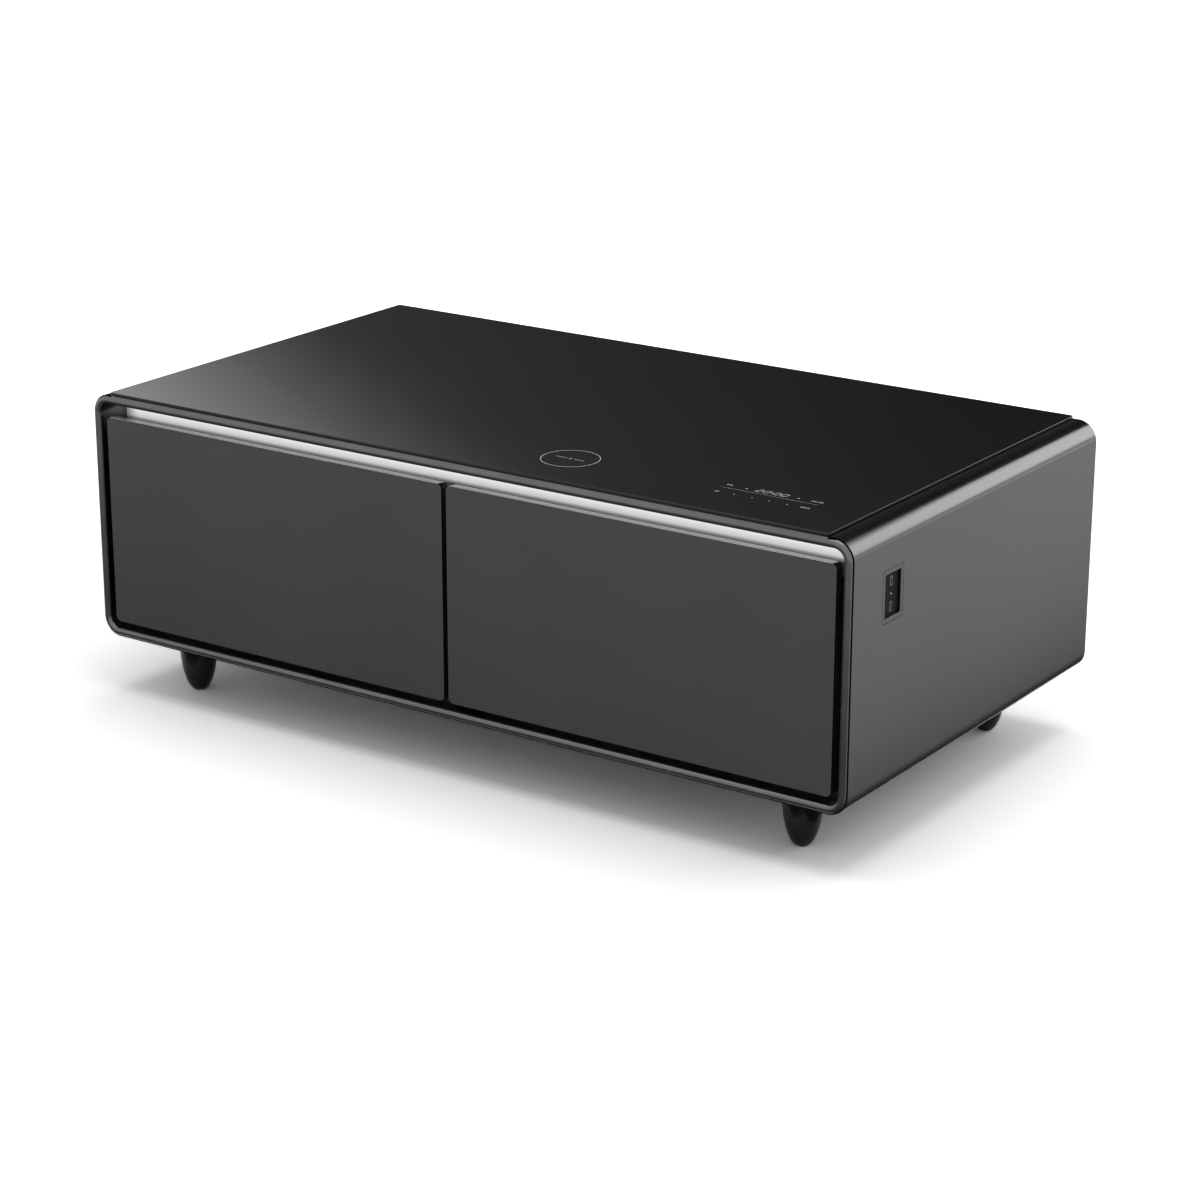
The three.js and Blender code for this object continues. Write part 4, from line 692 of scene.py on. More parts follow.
def diffuserFinish():
    # opal cover, lit from behind: brightest at its top, fading at its ends and into its lower lip
    material, tree, shader, where = newMaterial("opal_diffuser")
    apart = addNode(tree, "ShaderNodeSeparateXYZ", {0: where})
    upward = addRamp(tree, spread(tree, apart.outputs["Z"], opal["low"], opal["high"]), opal["fade"])
    across = calc(tree, "ABSOLUTE", apart.outputs["X"])
    ends = spread(tree, across, opal["half"] - opal["endFade"], opal["half"], 1.0, opal["endShare"],
                  "SMOOTHSTEP")
    glow = addNode(tree, "ShaderNodeVectorMath", {0: upward, "Scale": ends}, operation="SCALE")
    fillInputs(tree, shader, {
        "Emission Color": glow, "Emission Strength": 1.0, "Base Color": opal["shade"],
        "Roughness": opal["rough"]})
    return material


printed = {"dark": grey(0.42), "light": grey(0.55), "scale": 120.0, "glow": 0.6, "rough": 0.5}


def printFinish():
    # pale print under the glass, faintly lit
    material, tree, shader, where = newMaterial("pale_print")
    tone = useGroup(tree, "mottle", Vector=where, Scale=printed["scale"], Dark=printed["dark"],
                    Light=printed["light"])
    fillInputs(tree, shader, {
        "Base Color": tone["Color"], "Emission Color": tone["Color"], "Emission Strength": printed["glow"],
        "Roughness": printed["rough"]})
    return material


made = {name: plainFinish(name + "_finish", look) for name, look in finishes.items()}
made["top_glass"] = topGlassFinish()
made["diffuser"] = diffuserFinish()
made["print"] = printFinish()

for name, node in nodes.items():
    for place in node.material_slots:
        place.material = made[slotOf[name]]
print("finishes made:", len(made))


def fitPiece(piece, node, finish=None, slot=None, replaces=True, angle=50, **edges):
    # a piece is polished, gets its material, the body and slot of its node, and may stand for that node
    if angle:
        polish(piece, angle=angle, **edges)
    if not piece.data.materials or piece.data.materials[0] is None:
        piece.data.materials.clear()
        piece.data.materials.append(made[finish or slot or slotOf[node]])
    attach(piece, bodyOf[node])
    if replaces:
        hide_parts(node)
    return piece


def addPart(piece, node, finish=None, slot=None, **edges):
    # a piece beside the one that stands for its node
    return fitPiece(piece, node, finish, slot, replaces=False, **edges)


screw = {"headRadius": 0.0038, "headHeight": 0.0019, "crossLength": 0.0042, "crossWidth": 0.0008}

facings = {"up": (0, 0, 0), "back": (-pi / 2, 0, 0), "front": (pi / 2, 0, 0), "left": (0, -pi / 2, 0)}


def addScrews(name, node, points, facing, scale=1.0):
    piece = grow(pointsPiece(name, points), "screws", "zinc_steel", **{
        "Head Radius": screw["headRadius"] * scale, "Head Height": screw["headHeight"] * scale,
        "Cross Length": screw["crossLength"] * scale, "Cross Width": screw["crossWidth"] * scale,
        "Facing": facings[facing]})
    return addPart(piece, node, slot="zinc_steel", angle=40)


# case
wrap = {
    "cornerSteps": 24, "edge": 0.0004, "flange": 0.016,
    "chargerWindow": 0.039, "charger": (0.148, -0.252),
    "display": ((0.38, 0.55), (-0.275, -0.229)), "windowCorner": 0.004,
    "vent": ((-0.21, 0.21), (0.2225, 0.3065)), "ventCorner": 0.015,
    "foot": (0.536, 0.264), "studHole": 0.0053,
    "usb": ((-0.2688, -0.2142), (0.3337, 0.4073)), "usbCorner": 0.0033,
    "cutDeep": 0.004,
}


def carriedRoundCase(name, section, steps):
    half = table["half"]
    return carriedRound(name, (-half, half), (table["bottom"], table["top"]), table["corner"], section, steps)


def buildCaseWrap():
    sheet, edge, flange = table["sheet"], wrap["edge"], wrap["flange"]
    front, back, flangeBack = table["caseFront"], table["back"], table["flangeBack"]
    section = [
        (edge, front), (edge * 0.3, front + edge * 0.3), (0, front + edge),
        (0, back - edge), (edge * 0.3, back - edge * 0.3), (edge, back),
        (sheet, back), (sheet, flangeBack), (flange, flangeBack), (flange, flangeBack - sheet),
        (sheet, flangeBack - sheet), (sheet, front),
    ]
    piece = carriedRoundCase("caseWrap", section, wrap["cornerSteps"])
    deep = wrap["cutDeep"]
    top = (table["top"] - deep, table["top"] + past)
    low = (table["bottom"] - past, table["bottom"] + deep)
    tools = [
        rodPiece("punch", wrap["chargerWindow"], wrap["charger"], top, "z"),
        platePunch(*wrap["display"], wrap["windowCorner"], top, "z"),
        platePunch(*wrap["vent"], wrap["ventCorner"], low, "z"),
        platePunch(*wrap["usb"], wrap["usbCorner"], (table["half"] - deep, table["half"] + past), "x"),
    ]
    tools += [rodPiece("punch", wrap["studHole"], place, low, "z", 24)
              for place in fourRound((0, 0), wrap["foot"])]
    fitPiece(cutAway(piece, tools), "case_wrap", angle=40)


ring = {"band": 0.014, "spigot": 0.015, "wall": 0.0025, "noseSteps": 20, "cornerSteps": 24}


def buildFrontRing():
    outer, band, wall = table["sheet"] + table["gap"], ring["band"], ring["wall"]
    radius = (band - outer) / 2
    front, caseFront, gap = table["front"], table["caseFront"], table["gap"]
    section = [(outer, caseFront + ring["spigot"])]
    for i in range(ring["noseSteps"] + 1):
        turn = pi * (1 - i / ring["noseSteps"])
        section.append((outer + radius * (1 + cos(turn)), front + radius * (1 - sin(turn))))
    section += [
        (band, table["face"] - gap), (band - wall, table["face"] - gap),
        (band - wall, caseFront + wall + gap),
        (outer + wall, caseFront + wall + gap), (outer + wall, caseFront + ring["spigot"]),
    ]
    fitPiece(carriedRoundCase("frontRing", section, ring["cornerSteps"]), "front_frame", angle=40)


buildCaseWrap()
buildFrontRing()
print("case built")

# glass top and what is printed on it
glass = {
    "x": (-0.614, 0.614), "y": (-0.349, 0.3464), "z": (0.4693, 0.4733), "corner": 0.005, "edge": 0.0006,
    "seal": (-0.3497, 0.4621), "sealRadius": 0.0165, "sealTurn": (14, 40), "sealSteps": 6,
    "sealBack": -0.3452,
    "bedX": (0.6144, 0.6215), "bedZ": (0.4681, 0.469), "bedEdge": 0.0003, "endIn": 0.002,
}


def buildGlassTop():
    piece = platePiece("glassTop", glass["x"], glass["y"], glass["corner"], glass["z"], "z", glass["edge"],
                       10, 4)
    fitPiece(piece, "glass_top", angle=60)
    # strip that carries the round of the ring up to the glass
    (y, z), radius, back, steps = glass["seal"], glass["sealRadius"], glass["sealBack"], glass["sealSteps"]
    first, last = glass["sealTurn"]
    turns = [radians(first + (last - first) * i / steps) for i in range(steps + 1)]
    section = [(y + radius * (cos(turns[0]) - cos(turn)), z + radius * (sin(turn) - sin(turns[0])))
               for turn in turns]
    section += [(back, section[-1][1]), (back, z)]
    strip = pushedPiece("glassSeal", section, shrunk(glass["x"], glass["endIn"]), "x")
    addPart(strip, "front_frame", angle=60)
    # dark bed along its two sides
    y = shrunk(glass["y"], glass["endIn"])
    beds = [boxPiece("bed", span(side, *glass["bedX"]), y, glass["bedZ"], edge=glass["bedEdge"])
            for side in (-1, 1)]
    addPart(joinPieces("glassBed", beds), "glass_top", "socket_black", "gasket_rubber", angle=60)


legend = {
    "lift": 0.00003, "thick": 0.00005,
    "spot": (0.148, -0.252), "ring": 0.0415, "ringLine": 0.0006, "ringSides": 96,  # charging spot
    "dashes": 6, "dashPitch": 0.0036, "dashHalf": 0.0012, "dashLine": 0.0009,
    "bolt": (0.0012, 0.001, 0.003), "boltLine": 0.0007,
    "clock": (0.4375, -0.2415), "digit": (0.0072, 0.0098), "digitPitch": 0.0116, "clockGap": 0.0042,
    "stroke": 0.0008, "lean": 0.3, "lit": ("abged", "abcdef", "abcdef", "abcdef"), "colon": (0.3, 0.7),
    "words": (("8°C", (0.3955, -0.236), 0.0056), ("ON OFF", (0.5315, -0.238), 0.005),
              ("LIGHT", (0.5315, -0.2695), 0.005)),
    "rule": ((0.39, -0.249), (0.54, -0.249)), "ruleLine": 0.0002,
    "plusSigns": ((0.423, -0.238), (0.503, -0.238)), "plusArm": 0.002, "signLine": 0.0006,
    "sun": (0.396, -0.2695), "rays": (0.001375, 0.0032), "rayCount": 6,
    "dotsX": (0.423, 0.4506, 0.477, 0.504), "dotsY": -0.2695, "dot": 0.0009, "dotSides": 12,
}


def flatBar(a, b, width):
    # thin bar between two points of the glass
    a, b = Vector(a), Vector(b)
    along = (b - a).normalized()
    side = Vector((-along.y, along.x)) * width / 2
    return [a - side, b - side, b + side, a + side]


def digitBars(left, low, wide, tall, stroke, lit):
    # the lit ones of a digit's seven strokes
    inset = stroke * 0.65
    x0, x1, y0, ym, y1 = left, left + wide, low, low + tall / 2, low + tall
    flat, upper, lower = (x0 + inset, x1 - inset), (ym + inset, y1 - inset), (y0 + inset, ym - inset)
    strokes = {key: ((flat[0], y), (flat[1], y)) for key, y in (("a", y1), ("g", ym), ("d", y0))}
    for key, x, (start, end) in (("f", x0, upper), ("b", x1, upper), ("e", x0, lower), ("c", x1, lower)):
        strokes[key] = ((x, start), (x, end))
    return [flatBar(*strokes[key], stroke) for key in lit]


def textShapes(words, centre, height):
    # outlines of a short printed word, as flat faces
    curve = bpy.data.curves.new("word", "FONT")
    curve.body, curve.size, curve.resolution_u = words, height, 3
    curve.align_x = curve.align_y = "CENTER"
    holder = addPiece("word", curve)
    bpy.context.view_layer.update()
    mesh = bpy.data.meshes.new_from_object(holder.evaluated_get(bpy.context.evaluated_depsgraph_get()))
    points = [(point.co.x + centre[0], point.co.y + centre[1]) for point in mesh.vertices]
    bpy.data.objects.remove(holder)
    return [[points[i] for i in face.vertices] for face in mesh.polygons]


def chargeShapes():
    # ring round the charging spot, with a row of dashes and a bolt in its middle
    cx, cy = spot = legend["spot"]
    sides, half = legend["ringSides"], legend["dashHalf"]
    outer = circle(spot, legend["ring"], sides)
    inner = circle(spot, legend["ring"] - legend["ringLine"], sides)
    shapes = [[inner[i], outer[i], outer[(i + 1) % sides], inner[(i + 1) % sides]] for i in range(sides)]
    for i in range(-legend["dashes"], legend["dashes"] + 1):
        if abs(i) > 1:
            x = cx + i * legend["dashPitch"]
            shapes.append(flatBar((x - half, cy), (x + half, cy), legend["dashLine"]))
    tip, knee, rise = legend["bolt"]
    bolt = [(cx + tip, cy + rise), (cx - knee, cy), (cx + knee, cy), (cx - tip, cy - rise)]
    return shapes + [flatBar(a, b, legend["boltLine"]) for a, b in zip(bolt, bolt[1:])]


def clockShapes():
    # four digits and a colon, all leaning
    (left, low), (wide, tall), pitch = legend["clock"], legend["digit"], legend["digitPitch"]
    lefts = [left + pitch * i + (legend["clockGap"] if i > 1 else 0) for i in range(4)]
    shapes = []
    for start, lit in zip(lefts, legend["lit"]):
        shapes += digitBars(start, low, wide, tall, legend["stroke"], lit)
    colon = (lefts[1] + wide + lefts[2]) / 2
    shapes += [circle((colon, low + tall * share), legend["dot"], legend["dotSides"])
               for share in legend["colon"]]
    return [[(x + (y - low) * legend["lean"], y) for x, y in shape] for shape in shapes]


def signShapes():
    # labels, the line under them, small signs and the touch dots
    shapes = []
    for words, centre, height in legend["words"]:
        shapes += textShapes(words, centre, height)
    shapes.append(flatBar(*legend["rule"], legend["ruleLine"]))
    arm, line = legend["plusArm"], legend["signLine"]
    for x, y in legend["plusSigns"]:
        shapes += [flatBar((x - arm, y), (x + arm, y), line), flatBar((x, y - arm), (x, y + arm), line)]
    near, far = (circle(legend["sun"], reach, legend["rayCount"]) for reach in legend["rays"])
    shapes += [flatBar(a, b, line) for a, b in zip(near, far)]
    return shapes + [circle((x, legend["dotsY"]), legend["dot"], legend["dotSides"]) for x in legend["dotsX"]]


def buildLegend():
    points, faces = [], []
    low = glass["z"][1] + legend["lift"]
    for shape in chargeShapes() + clockShapes() + signShapes():
        start, count = len(points), len(shape)
        points += [(x, y, level) for level in (low, low + legend["thick"]) for x, y in shape]
        faces += [tuple(range(start, start + count))[::-1], tuple(range(start + count, start + 2 * count))]
        for i in range(count):
            k = (i + 1) % count
            faces.append((start + i, start + k, start + count + k, start + count + i))
    mesh = bpy.data.meshes.new("glassLegend")
    mesh.from_pydata(points, [], faces)
    addPart(addPiece("glassLegend", mesh), "glass_top", "print", angle=None)


buildGlassTop()
buildLegend()
print("glass top built")

# drawer fronts, the light band above them and what is behind it
drawer = {
    "inner": 0.004, "outer": 0.625, "low": 0.1148, "high": 0.434, "coreTop": 0.408, "corner": 0.008,
    "glass": (-0.346, -0.342), "glassEdge": 0.0006, "front": -0.3417, "back": -0.2982, "lipBack": -0.33,
    "cove": 0.01, "lipRound": 0.002, "coveSteps": 10, "lipSteps": 4, "edge": 0.0008,
    "trim": 0.0005, "lipFall": 0.0016, "trimIn": 0.0004, "trimEdge": 0.00012,
}


def buildDrawerFront(name, side):
    x, z = span(side, drawer["inner"], drawer["outer"]), (drawer["low"], drawer["high"])
    front, back, lip, cove, soft = (drawer[key] for key in ("front", "back", "lipBack", "cove", "lipRound"))
    top, fall, floor = z[1] - drawer["trim"], drawer["lipFall"], drawer["coreTop"]
    pane = platePiece(
        name + "Glass", x, (z[0], top), drawer["corner"], drawer["glass"], "y", drawer["glassEdge"], 10, 4)
    fitPiece(pane, name + "_front_glass", angle=60)
    profile = [(front, z[0]), (back, z[0]), (back, floor)]
    profile += [(lip + cove * (1 - s), floor + cove * (1 - c)) for s, c in quarter(drawer["coveSteps"])]
    profile += [(lip - soft * (1 - c), top - fall - soft * (1 - s)) for s, c in quarter(drawer["lipSteps"])]
    profile.append((front, top))
    block = pushedPiece(name + "Front", profile, x, "x")
    cutAway(block, [platePunch(x, z, drawer["corner"], (front - past, back + past), "y", 10)], "INTERSECT")
    fitPiece(block, name + "_drawer_front", bevel=drawer["edge"])
    # satin strip over the edge of the glass and the lip, falling a little to the back
    start, end = drawer["glass"][0] + drawer["glassEdge"], lip - drawer["trimIn"]
    section = [(start, top), (end, top - fall), (end, z[1] - fall), (start, z[1])]
    strip = pushedPiece(name + "LipTrim", section, shrunk(x, drawer["corner"] * 0.75), "x")
    addPart(strip, name + "_drawer_front", "lip_trim", "aluminium", bevel=drawer["trimEdge"], angle=60)


for name, side in (("left", -1), ("right", 1)):
    buildDrawerFront(name, side)

band = {
    "x": (-0.64, 0.64), "y": (-0.2897, -0.2872), "z": (0.4223, 0.4417), "edge": 0.0004,
    "lip": (-0.2906, -0.2896), "lipLow": 0.4186, "lipEdge": 0.0003,
    "boardY": (-0.2779, -0.2763), "boardZ": (0.424, 0.44), "boardCorner": 0.0008, "boardEdge": 0.00015,
    "chip": 0.0035, "chipDepth": 0.0008, "pitch": 0.0158, "eye": 0.00126, "eyeHalf": 0.0001,
    "resistorX": (0.0065, 0.0085), "resistorHalf": 0.0006, "resistorDepth": 0.0005,
}


def buildLightBand():
    body = boxPiece("lightCover", band["x"], band["y"], band["z"], edge=band["edge"])
    front = boxPiece("lip", band["x"], band["lip"], (band["lipLow"], band["z"][1]), edge=band["lipEdge"])
    fitPiece(joinPieces("lightCover", [body, front]), "light_diffuser", angle=60)
    board = platePiece("lightBoard", band["x"], band["boardZ"], band["boardCorner"], band["boardY"], "y",
                       band["boardEdge"], 3, 2)
    fitPiece(board, "led_strip", angle=60)
    pitch = band["pitch"]
    count = int((band["x"][1] - band["x"][0]) / pitch)
    start = -(count - 1) * pitch / 2
    face, z = band["boardY"][0], middle(band["boardZ"])
    top = face - band["chipDepth"]
    chip = boxPiece("lightChips", around(start, band["chip"]), (top, face), around(z, band["chip"]))
    ends = (top - band["eyeHalf"], top + band["eyeHalf"])
    eye = rodPiece("lightEyes", band["eye"], (start, z), ends, "y", 14)
    first, last = band["resistorX"]
    part = boxPiece("lightResistors", (start + first, start + last), (face - band["resistorDepth"], face),
                    (z - band["resistorHalf"], z + band["resistorHalf"]))
    for piece, finish, copies in ((chip, "ceramic_white", count), (eye, "phosphor", count),
                                  (part, "chip_black", count - 1)):
        addPart(inRow(piece, copies, (pitch, 0, 0), finish), "led_strip", finish, angle=40)


buildLightBand()
print("drawer fronts built")

# socket panel
socket = {
    "face": 0.65, "y": (-0.2685, -0.2145), "z": (0.334, 0.407), "corner": 0.003,
    "rim": 0.0065, "rimCorner": 0.0012, "depth": 0.0055, "edge": 0.0006, "seam": 0.0004,
    "moduleInset": 0.004, "moduleDepth": 0.0254, "raised": 0.0026, "raisedIn": 0.0067, "raisedCorner": 0.0011,
    "port": (0.0052, 0.0126), "offset": 0.0175, "portDepth": 0.012, "portCorner": 0.0004, "portEdge": 0.0004,
    "tongue": (0.0018, 0.0104, 0.01), "tongueShift": 0.0008, "tongueStart": 0.013, "tongueEdge": 0.0002,
    "shellOut": 0.0003, "shellIn": 0.0001, "shellWall": 0.0005, "shellCorner": 0.0005, "shellEdge": 0.00015,
    "boreCorner": 0.0003,
    "contactX": (-0.0105, -0.0038), "contactY": (-0.00102, -0.0008), "contactZ": (-0.0038, -0.0028),
    "contacts": 4, "contactPitch": 0.0022,
    # radius of the lamp, and its profile as (share of the radius, distance out)
    "lamp": 0.0011, "lampProfile": ((0, -0.001), (1, -0.001), (1, 0.0003), (0.7, 0.0007), (0, 0.0008)),
}


def buildSocketPanel():
    face, y, z = socket["face"], socket["y"], socket["z"]
    back = face - socket["depth"]
    bezel = platePiece("socketBezel", shrunk(y, socket["seam"]), shrunk(z, socket["seam"]), socket["corner"],
                       (back, face), "x", toolEdge, 6)
    rimY, rimZ = shrunk(y, socket["rim"]), shrunk(z, socket["rim"])
    cutAway(bezel, [platePunch(rimY, rimZ, socket["rimCorner"], (back - past, face + past), "x", 4)])
    fitPiece(bezel, "usb_bezel", bevel=socket["edge"], segments=3)
    front, inset = back - table["gap"], socket["moduleInset"]
    block = boxPiece("socketModule", (front - socket["moduleDepth"], front), shrunk(y, inset),
                     shrunk(z, inset))
    # raised middle that stands in the bezel, with the two mouths in it
    start, front, inset = front - past, front + socket["raised"], socket["raisedIn"]
    raised = platePunch(shrunk(y, inset), shrunk(z, inset), socket["raisedCorner"], (start, front), "x", 4)
    cutAway(block, [raised], "UNION")
    cy, cz, (wide, tall) = middle(y), middle(z), socket["port"]
    places = [cz + side * socket["offset"] for side in (-1, 1)]
    ends = (front - socket["portDepth"], front + past)
    polish(cutAway(block, [platePunch(around(cy, wide), around(at, tall), socket["portCorner"], ends, "x", 3)
                           for at in places]), bevel=socket["portEdge"])
    thick, high, deep = socket["tongue"]
    ty, start = cy + socket["tongueShift"], front - socket["tongueStart"]
    tongues = [boxPiece("tongue", (start, start + deep), around(ty, thick), around(at, high),
                        edge=socket["tongueEdge"]) for at in places]
    fitPiece(joinPieces("socketModule", [block, *tongues]), "usb_module", "socket_black", angle=60)
    # plated shells in the two mouths, contacts on the tongues and a small lamp between them
    parts = []
    ends = (front - socket["portDepth"] + socket["shellOut"], front + socket["shellOut"])
    less, wall = socket["shellIn"], 2 * socket["shellWall"]
    for at in places:
        shell = platePiece("shell", around(cy, wide - less), around(at, tall - less),
                           socket["shellCorner"], ends, "x", socket["shellEdge"], 3)
        bore = platePunch(around(cy, wide - wall), around(at, tall - wall), socket["boreCorner"],
                          (ends[0] - past, ends[1] + past), "x", 3)
        contact = boxPiece("contact", *(tuple(origin + end for end in socket[key]) for origin, key in (
            (front, "contactX"), (ty, "contactY"), (at, "contactZ"))))
        parts += [cutAway(shell, [bore]), inRow(contact, socket["contacts"], (0, 0, socket["contactPitch"]))]
    addPart(joinPieces("socketShells", parts), "usb_module", slot="zinc_steel")
    profile = [(socket["lamp"] * share, front + out) for share, out in socket["lampProfile"]]
    addPart(turnedPiece("socketLamp", profile, (cy, cz), "x", 20), "usb_module", "liner_white", "diffuser")


buildSocketPanel()
print("socket panel built")

# feet
foot = {
    "radius": 0.029, "height": 0.09, "tipCut": 0.003, "fullness": 2.4, "rows": 22, "sides": 56,
    "stud": 0.005, "studTop": 0.108, "studEdge": 0.0008,
}


def buildFeet():
    egg, top, full = foot["height"] + foot["tipCut"], foot["height"] - table["gap"], foot["fullness"]
    profile = [(0, 0)]
    for i in range(foot["rows"] + 1):
        height = top * (i / foot["rows"]) ** 2
        profile.append((foot["radius"] * (1 - ((foot["height"] - height) / egg) ** full) ** (1 / full),
                        height))
    stud, end, edge = foot["stud"], foot["studTop"], foot["studEdge"]
    profile += [(stud, top), (stud, end - edge), (stud - edge, end), (0, end)]
    for label, sx, sy in quarters:
        place = (sx * wrap["foot"][0], sy * wrap["foot"][1])
        fitPiece(turnedPiece("foot." + label, profile, place, "z", foot["sides"]), "foot_" + label)


buildFeet()
print("feet built")

# rear panel
rear = {
    "x": (-0.6482, 0.6482), "z": (0.0918, 0.4662), "corner": 0.0282, "y": (0.3423, 0.3435), "edge": 0.0002,
    "louvre": ((-0.374, -0.214), 0.148, 0.007),
    "columns": 2, "columnStep": 0.178, "rows": 8, "rowStep": 0.024,
    "hoodOut": 0.005, "hoodTall": 0.0094, "hoodSheet": 0.0012, "hoodLess": 0.0014, "hoodSunk": 0.0005,
    "hoodSteps": 16, "hoodArc": 6,
    "grille": (0.19, 0.1886), "grilleRadius": 0.07,
    "grillePitch": 0.014, "grilleSlot": 0.006, "grilleRows": 5,
    "bead": ((0.0742, -0.0004), (0.0752, 0.0005), (0.0765, 0.0009), (0.0778, 0.0005), (0.0788, -0.0004)),
    "inletHole": (0.029, 0.0216), "inletCorner": 0.0023,
    "screwsX": (-0.6, -0.36, -0.12, 0.12, 0.36, 0.6), "screwsZ": (0.1, 0.4585), "sideScrews": (0.638, 0.285),
}


def hoodPiece(x, low, face):
    # one pressed hood, round at its ends
    half, sunk = (x[1] - x[0]) / 2, rear["hoodSunk"]
    sheets = [(rear["hoodOut"], rear["hoodTall"]),
              (rear["hoodOut"] - rear["hoodSheet"], rear["hoodTall"] - rear["hoodLess"])]
    rings = []
    for i in range(rear["hoodSteps"] + 1):
        t = 2 * i / rear["hoodSteps"] - 1
        t = copysign(1 - (1 - abs(t)) ** 1.6, t)
        swell = max((1 - abs(t) ** 8) ** (1 / 3), 0.03)
        outside, inside = ([(middle(x) + half * t, face - sunk + (out * swell + sunk) * s, low + up * c)
                            for s, c in quarter(rear["hoodArc"])] for out, up in sheets)
        rings.append(outside + inside[::-1])
    return skinPiece("hoods", rings)


def buildRearPanel():
    face = rear["y"][1]
    through = (rear["y"][0] - past / 2, face + past / 2)
    panel = platePiece("rearPanel", rear["x"], rear["z"], rear["corner"], rear["y"], "y", rear["edge"], 14, 1)
    x, low, tall = rear["louvre"]
    steps = {"Row Count": rear["columns"], "Row Step": (rear["columnStep"], 0, 0),
             "Level Count": rear["rows"], "Level Step": (0, 0, rear["rowStep"])}
    tools = [grow(boxPiece("openings", x, through, (low, low + tall)), "rows", **steps)]
    (cx, cz), pitch, slot = rear["grille"], rear["grillePitch"], rear["grilleSlot"]
    for row in range(-rear["grilleRows"], rear["grilleRows"] + 1):
        reach = rear["grilleRadius"] ** 2 - (row * pitch) ** 2
        if reach >= pitch ** 2:
            long = around(cx, 2 * sqrt(reach))
            tools.append(platePunch(long, around(cz + row * pitch, slot), slot * 0.48, through, "y", 5))
    hole = [around(at, size) for at, size in zip(inlet["place"], rear["inletHole"])]
    tools.append(platePunch(*hole, rear["inletCorner"], through, "y", 4))
    hoods = grow(hoodPiece(x, low, face), "rows", **steps)
    bead = turnedRing("bead", [(r, face + out) for r, out in rear["bead"]], rear["grille"], "y", 64)
    fitPiece(joinPieces("rearPanel", [cutAway(panel, tools), hoods, bead]), "rear_panel", angle=40)
    sideX, sideZ = rear["sideScrews"]
    places = [(x, face, z) for z in rear["screwsZ"] for x in rear["screwsX"]]
    addScrews("rearScrews", "rear_panel", places + [(x, face, sideZ) for x in (-sideX, sideX)], "back")


inlet = {
    "place": (-0.545, 0.142), "mouth": (0.0244, 0.017), "mouthCut": 0.005, "depth": 0.017,
    "flange": (0.048, 0.023), "flangeCorner": 0.004, "flangeY": (0.3438, 0.346),
    "edge": 0.0003, "body": (0.0284, 0.021), "bodyCorner": 0.002, "bodyY": (0.325, 0.3449),
    "bodyEdge": 0.0004,
    "pins": ((-0.007, -0.002), (0, 0.002), (0.007, -0.002)), "pin": (0.002, 0.004), "pinCorner": 0.0006,
    "pinY": (0.327, 0.342), "screwSpread": 0.0196,
}


def buildInlet():
    (cx, cz), y = inlet["place"], inlet["flangeY"][1]
    flange, body = ([around(at, size) for at, size in zip(inlet["place"], inlet[key])]
                    for key in ("flange", "body"))
    body = platePiece("inlet", *body, inlet["bodyCorner"], inlet["bodyY"], "y", inlet["bodyEdge"], 4)
    cutAway(body, [platePiece("flange", *flange, inlet["flangeCorner"], inlet["flangeY"], "y", steps=6)],
            "UNION")
    # mouth with its two cut lower corners
    wide, tall = inlet["mouth"]
    (left, right), (low, high), cut = around(cx, wide), around(cz, tall), inlet["mouthCut"]
    mouth = [(left, high), (right, high), (right, low + cut), (right - cut, low), (left + cut, low),
             (left, low + cut)]
    cutAway(body, [pushedPiece("mouth", mouth, (y - inlet["depth"], y + past), "y")])
    fitPiece(body, "power_inlet", bevel=inlet["edge"])
    wide, tall = inlet["pin"]
    pins = [platePiece("pin", around(cx + dx, wide), around(cz + dz, tall), inlet["pinCorner"],
                       inlet["pinY"], "y", steps=3) for dx, dz in inlet["pins"]]
    addPart(joinPieces("inletPins", pins), "power_inlet", slot="zinc_steel")
    addScrews("inletScrews", "power_inlet", [(cx + side * inlet["screwSpread"], y, cz) for side in (-1, 1)],
              "back", 0.8)


buildRearPanel()
buildInlet()
print("rear panel built")

# two cold cavities: liner, cold plate and seal
cavity = {
    "x": (0.029, 0.6), "z": (0.14, 0.383), "back": 0.14, "corner": 0.012, "wall": 0.002, "mouth": 0.0025,
    "backRound": 0.014, "flangeX": (0.026, 0.642), "flangeZ": (0.098, 0.4182), "flangeCorner": 0.022,
    "innerCorner": 0.0015, "steps": 7, "roundSteps": 5, "mouthSteps": 3,
}


def buildLiner(name, side):
    x, z, back = span(side, *cavity["x"]), cavity["z"], cavity["back"]
    face, wall = table["face"], cavity["wall"]
    deep, mouth, bends = cavity["backRound"], cavity["mouth"], quarter(cavity["roundSteps"])

    def level(inset, y, u=x, v=z, radius=cavity["corner"]):
        return [(a, y, b) for a, b in outline(shrunk(u, inset), shrunk(v, inset), radius, cavity["steps"])]

    radii = [cavity["innerCorner"]] * 4
    radii[3 if side < 0 else 0] = cavity["flangeCorner"]
    flangeX = span(side, *cavity["flangeX"])
    rings = [level(deep * (1 - s), back - deep * (1 - c)) for s, c in bends]
    rings += [level(-mouth * (1 - c), face + mouth * (1 - s)) for s, c in quarter(cavity["mouthSteps"])]
    rings += [level(0, y, flangeX, cavity["flangeZ"], radii) for y in (face, face + wall)]
    rings.append(level(-wall, face + wall))
    rings += [level(-wall + deep * (1 - s), back + wall - deep * (1 - c)) for s, c in reversed(bends)]
    fitPiece(skinPiece(name + "Liner", rings), name + "_liner")


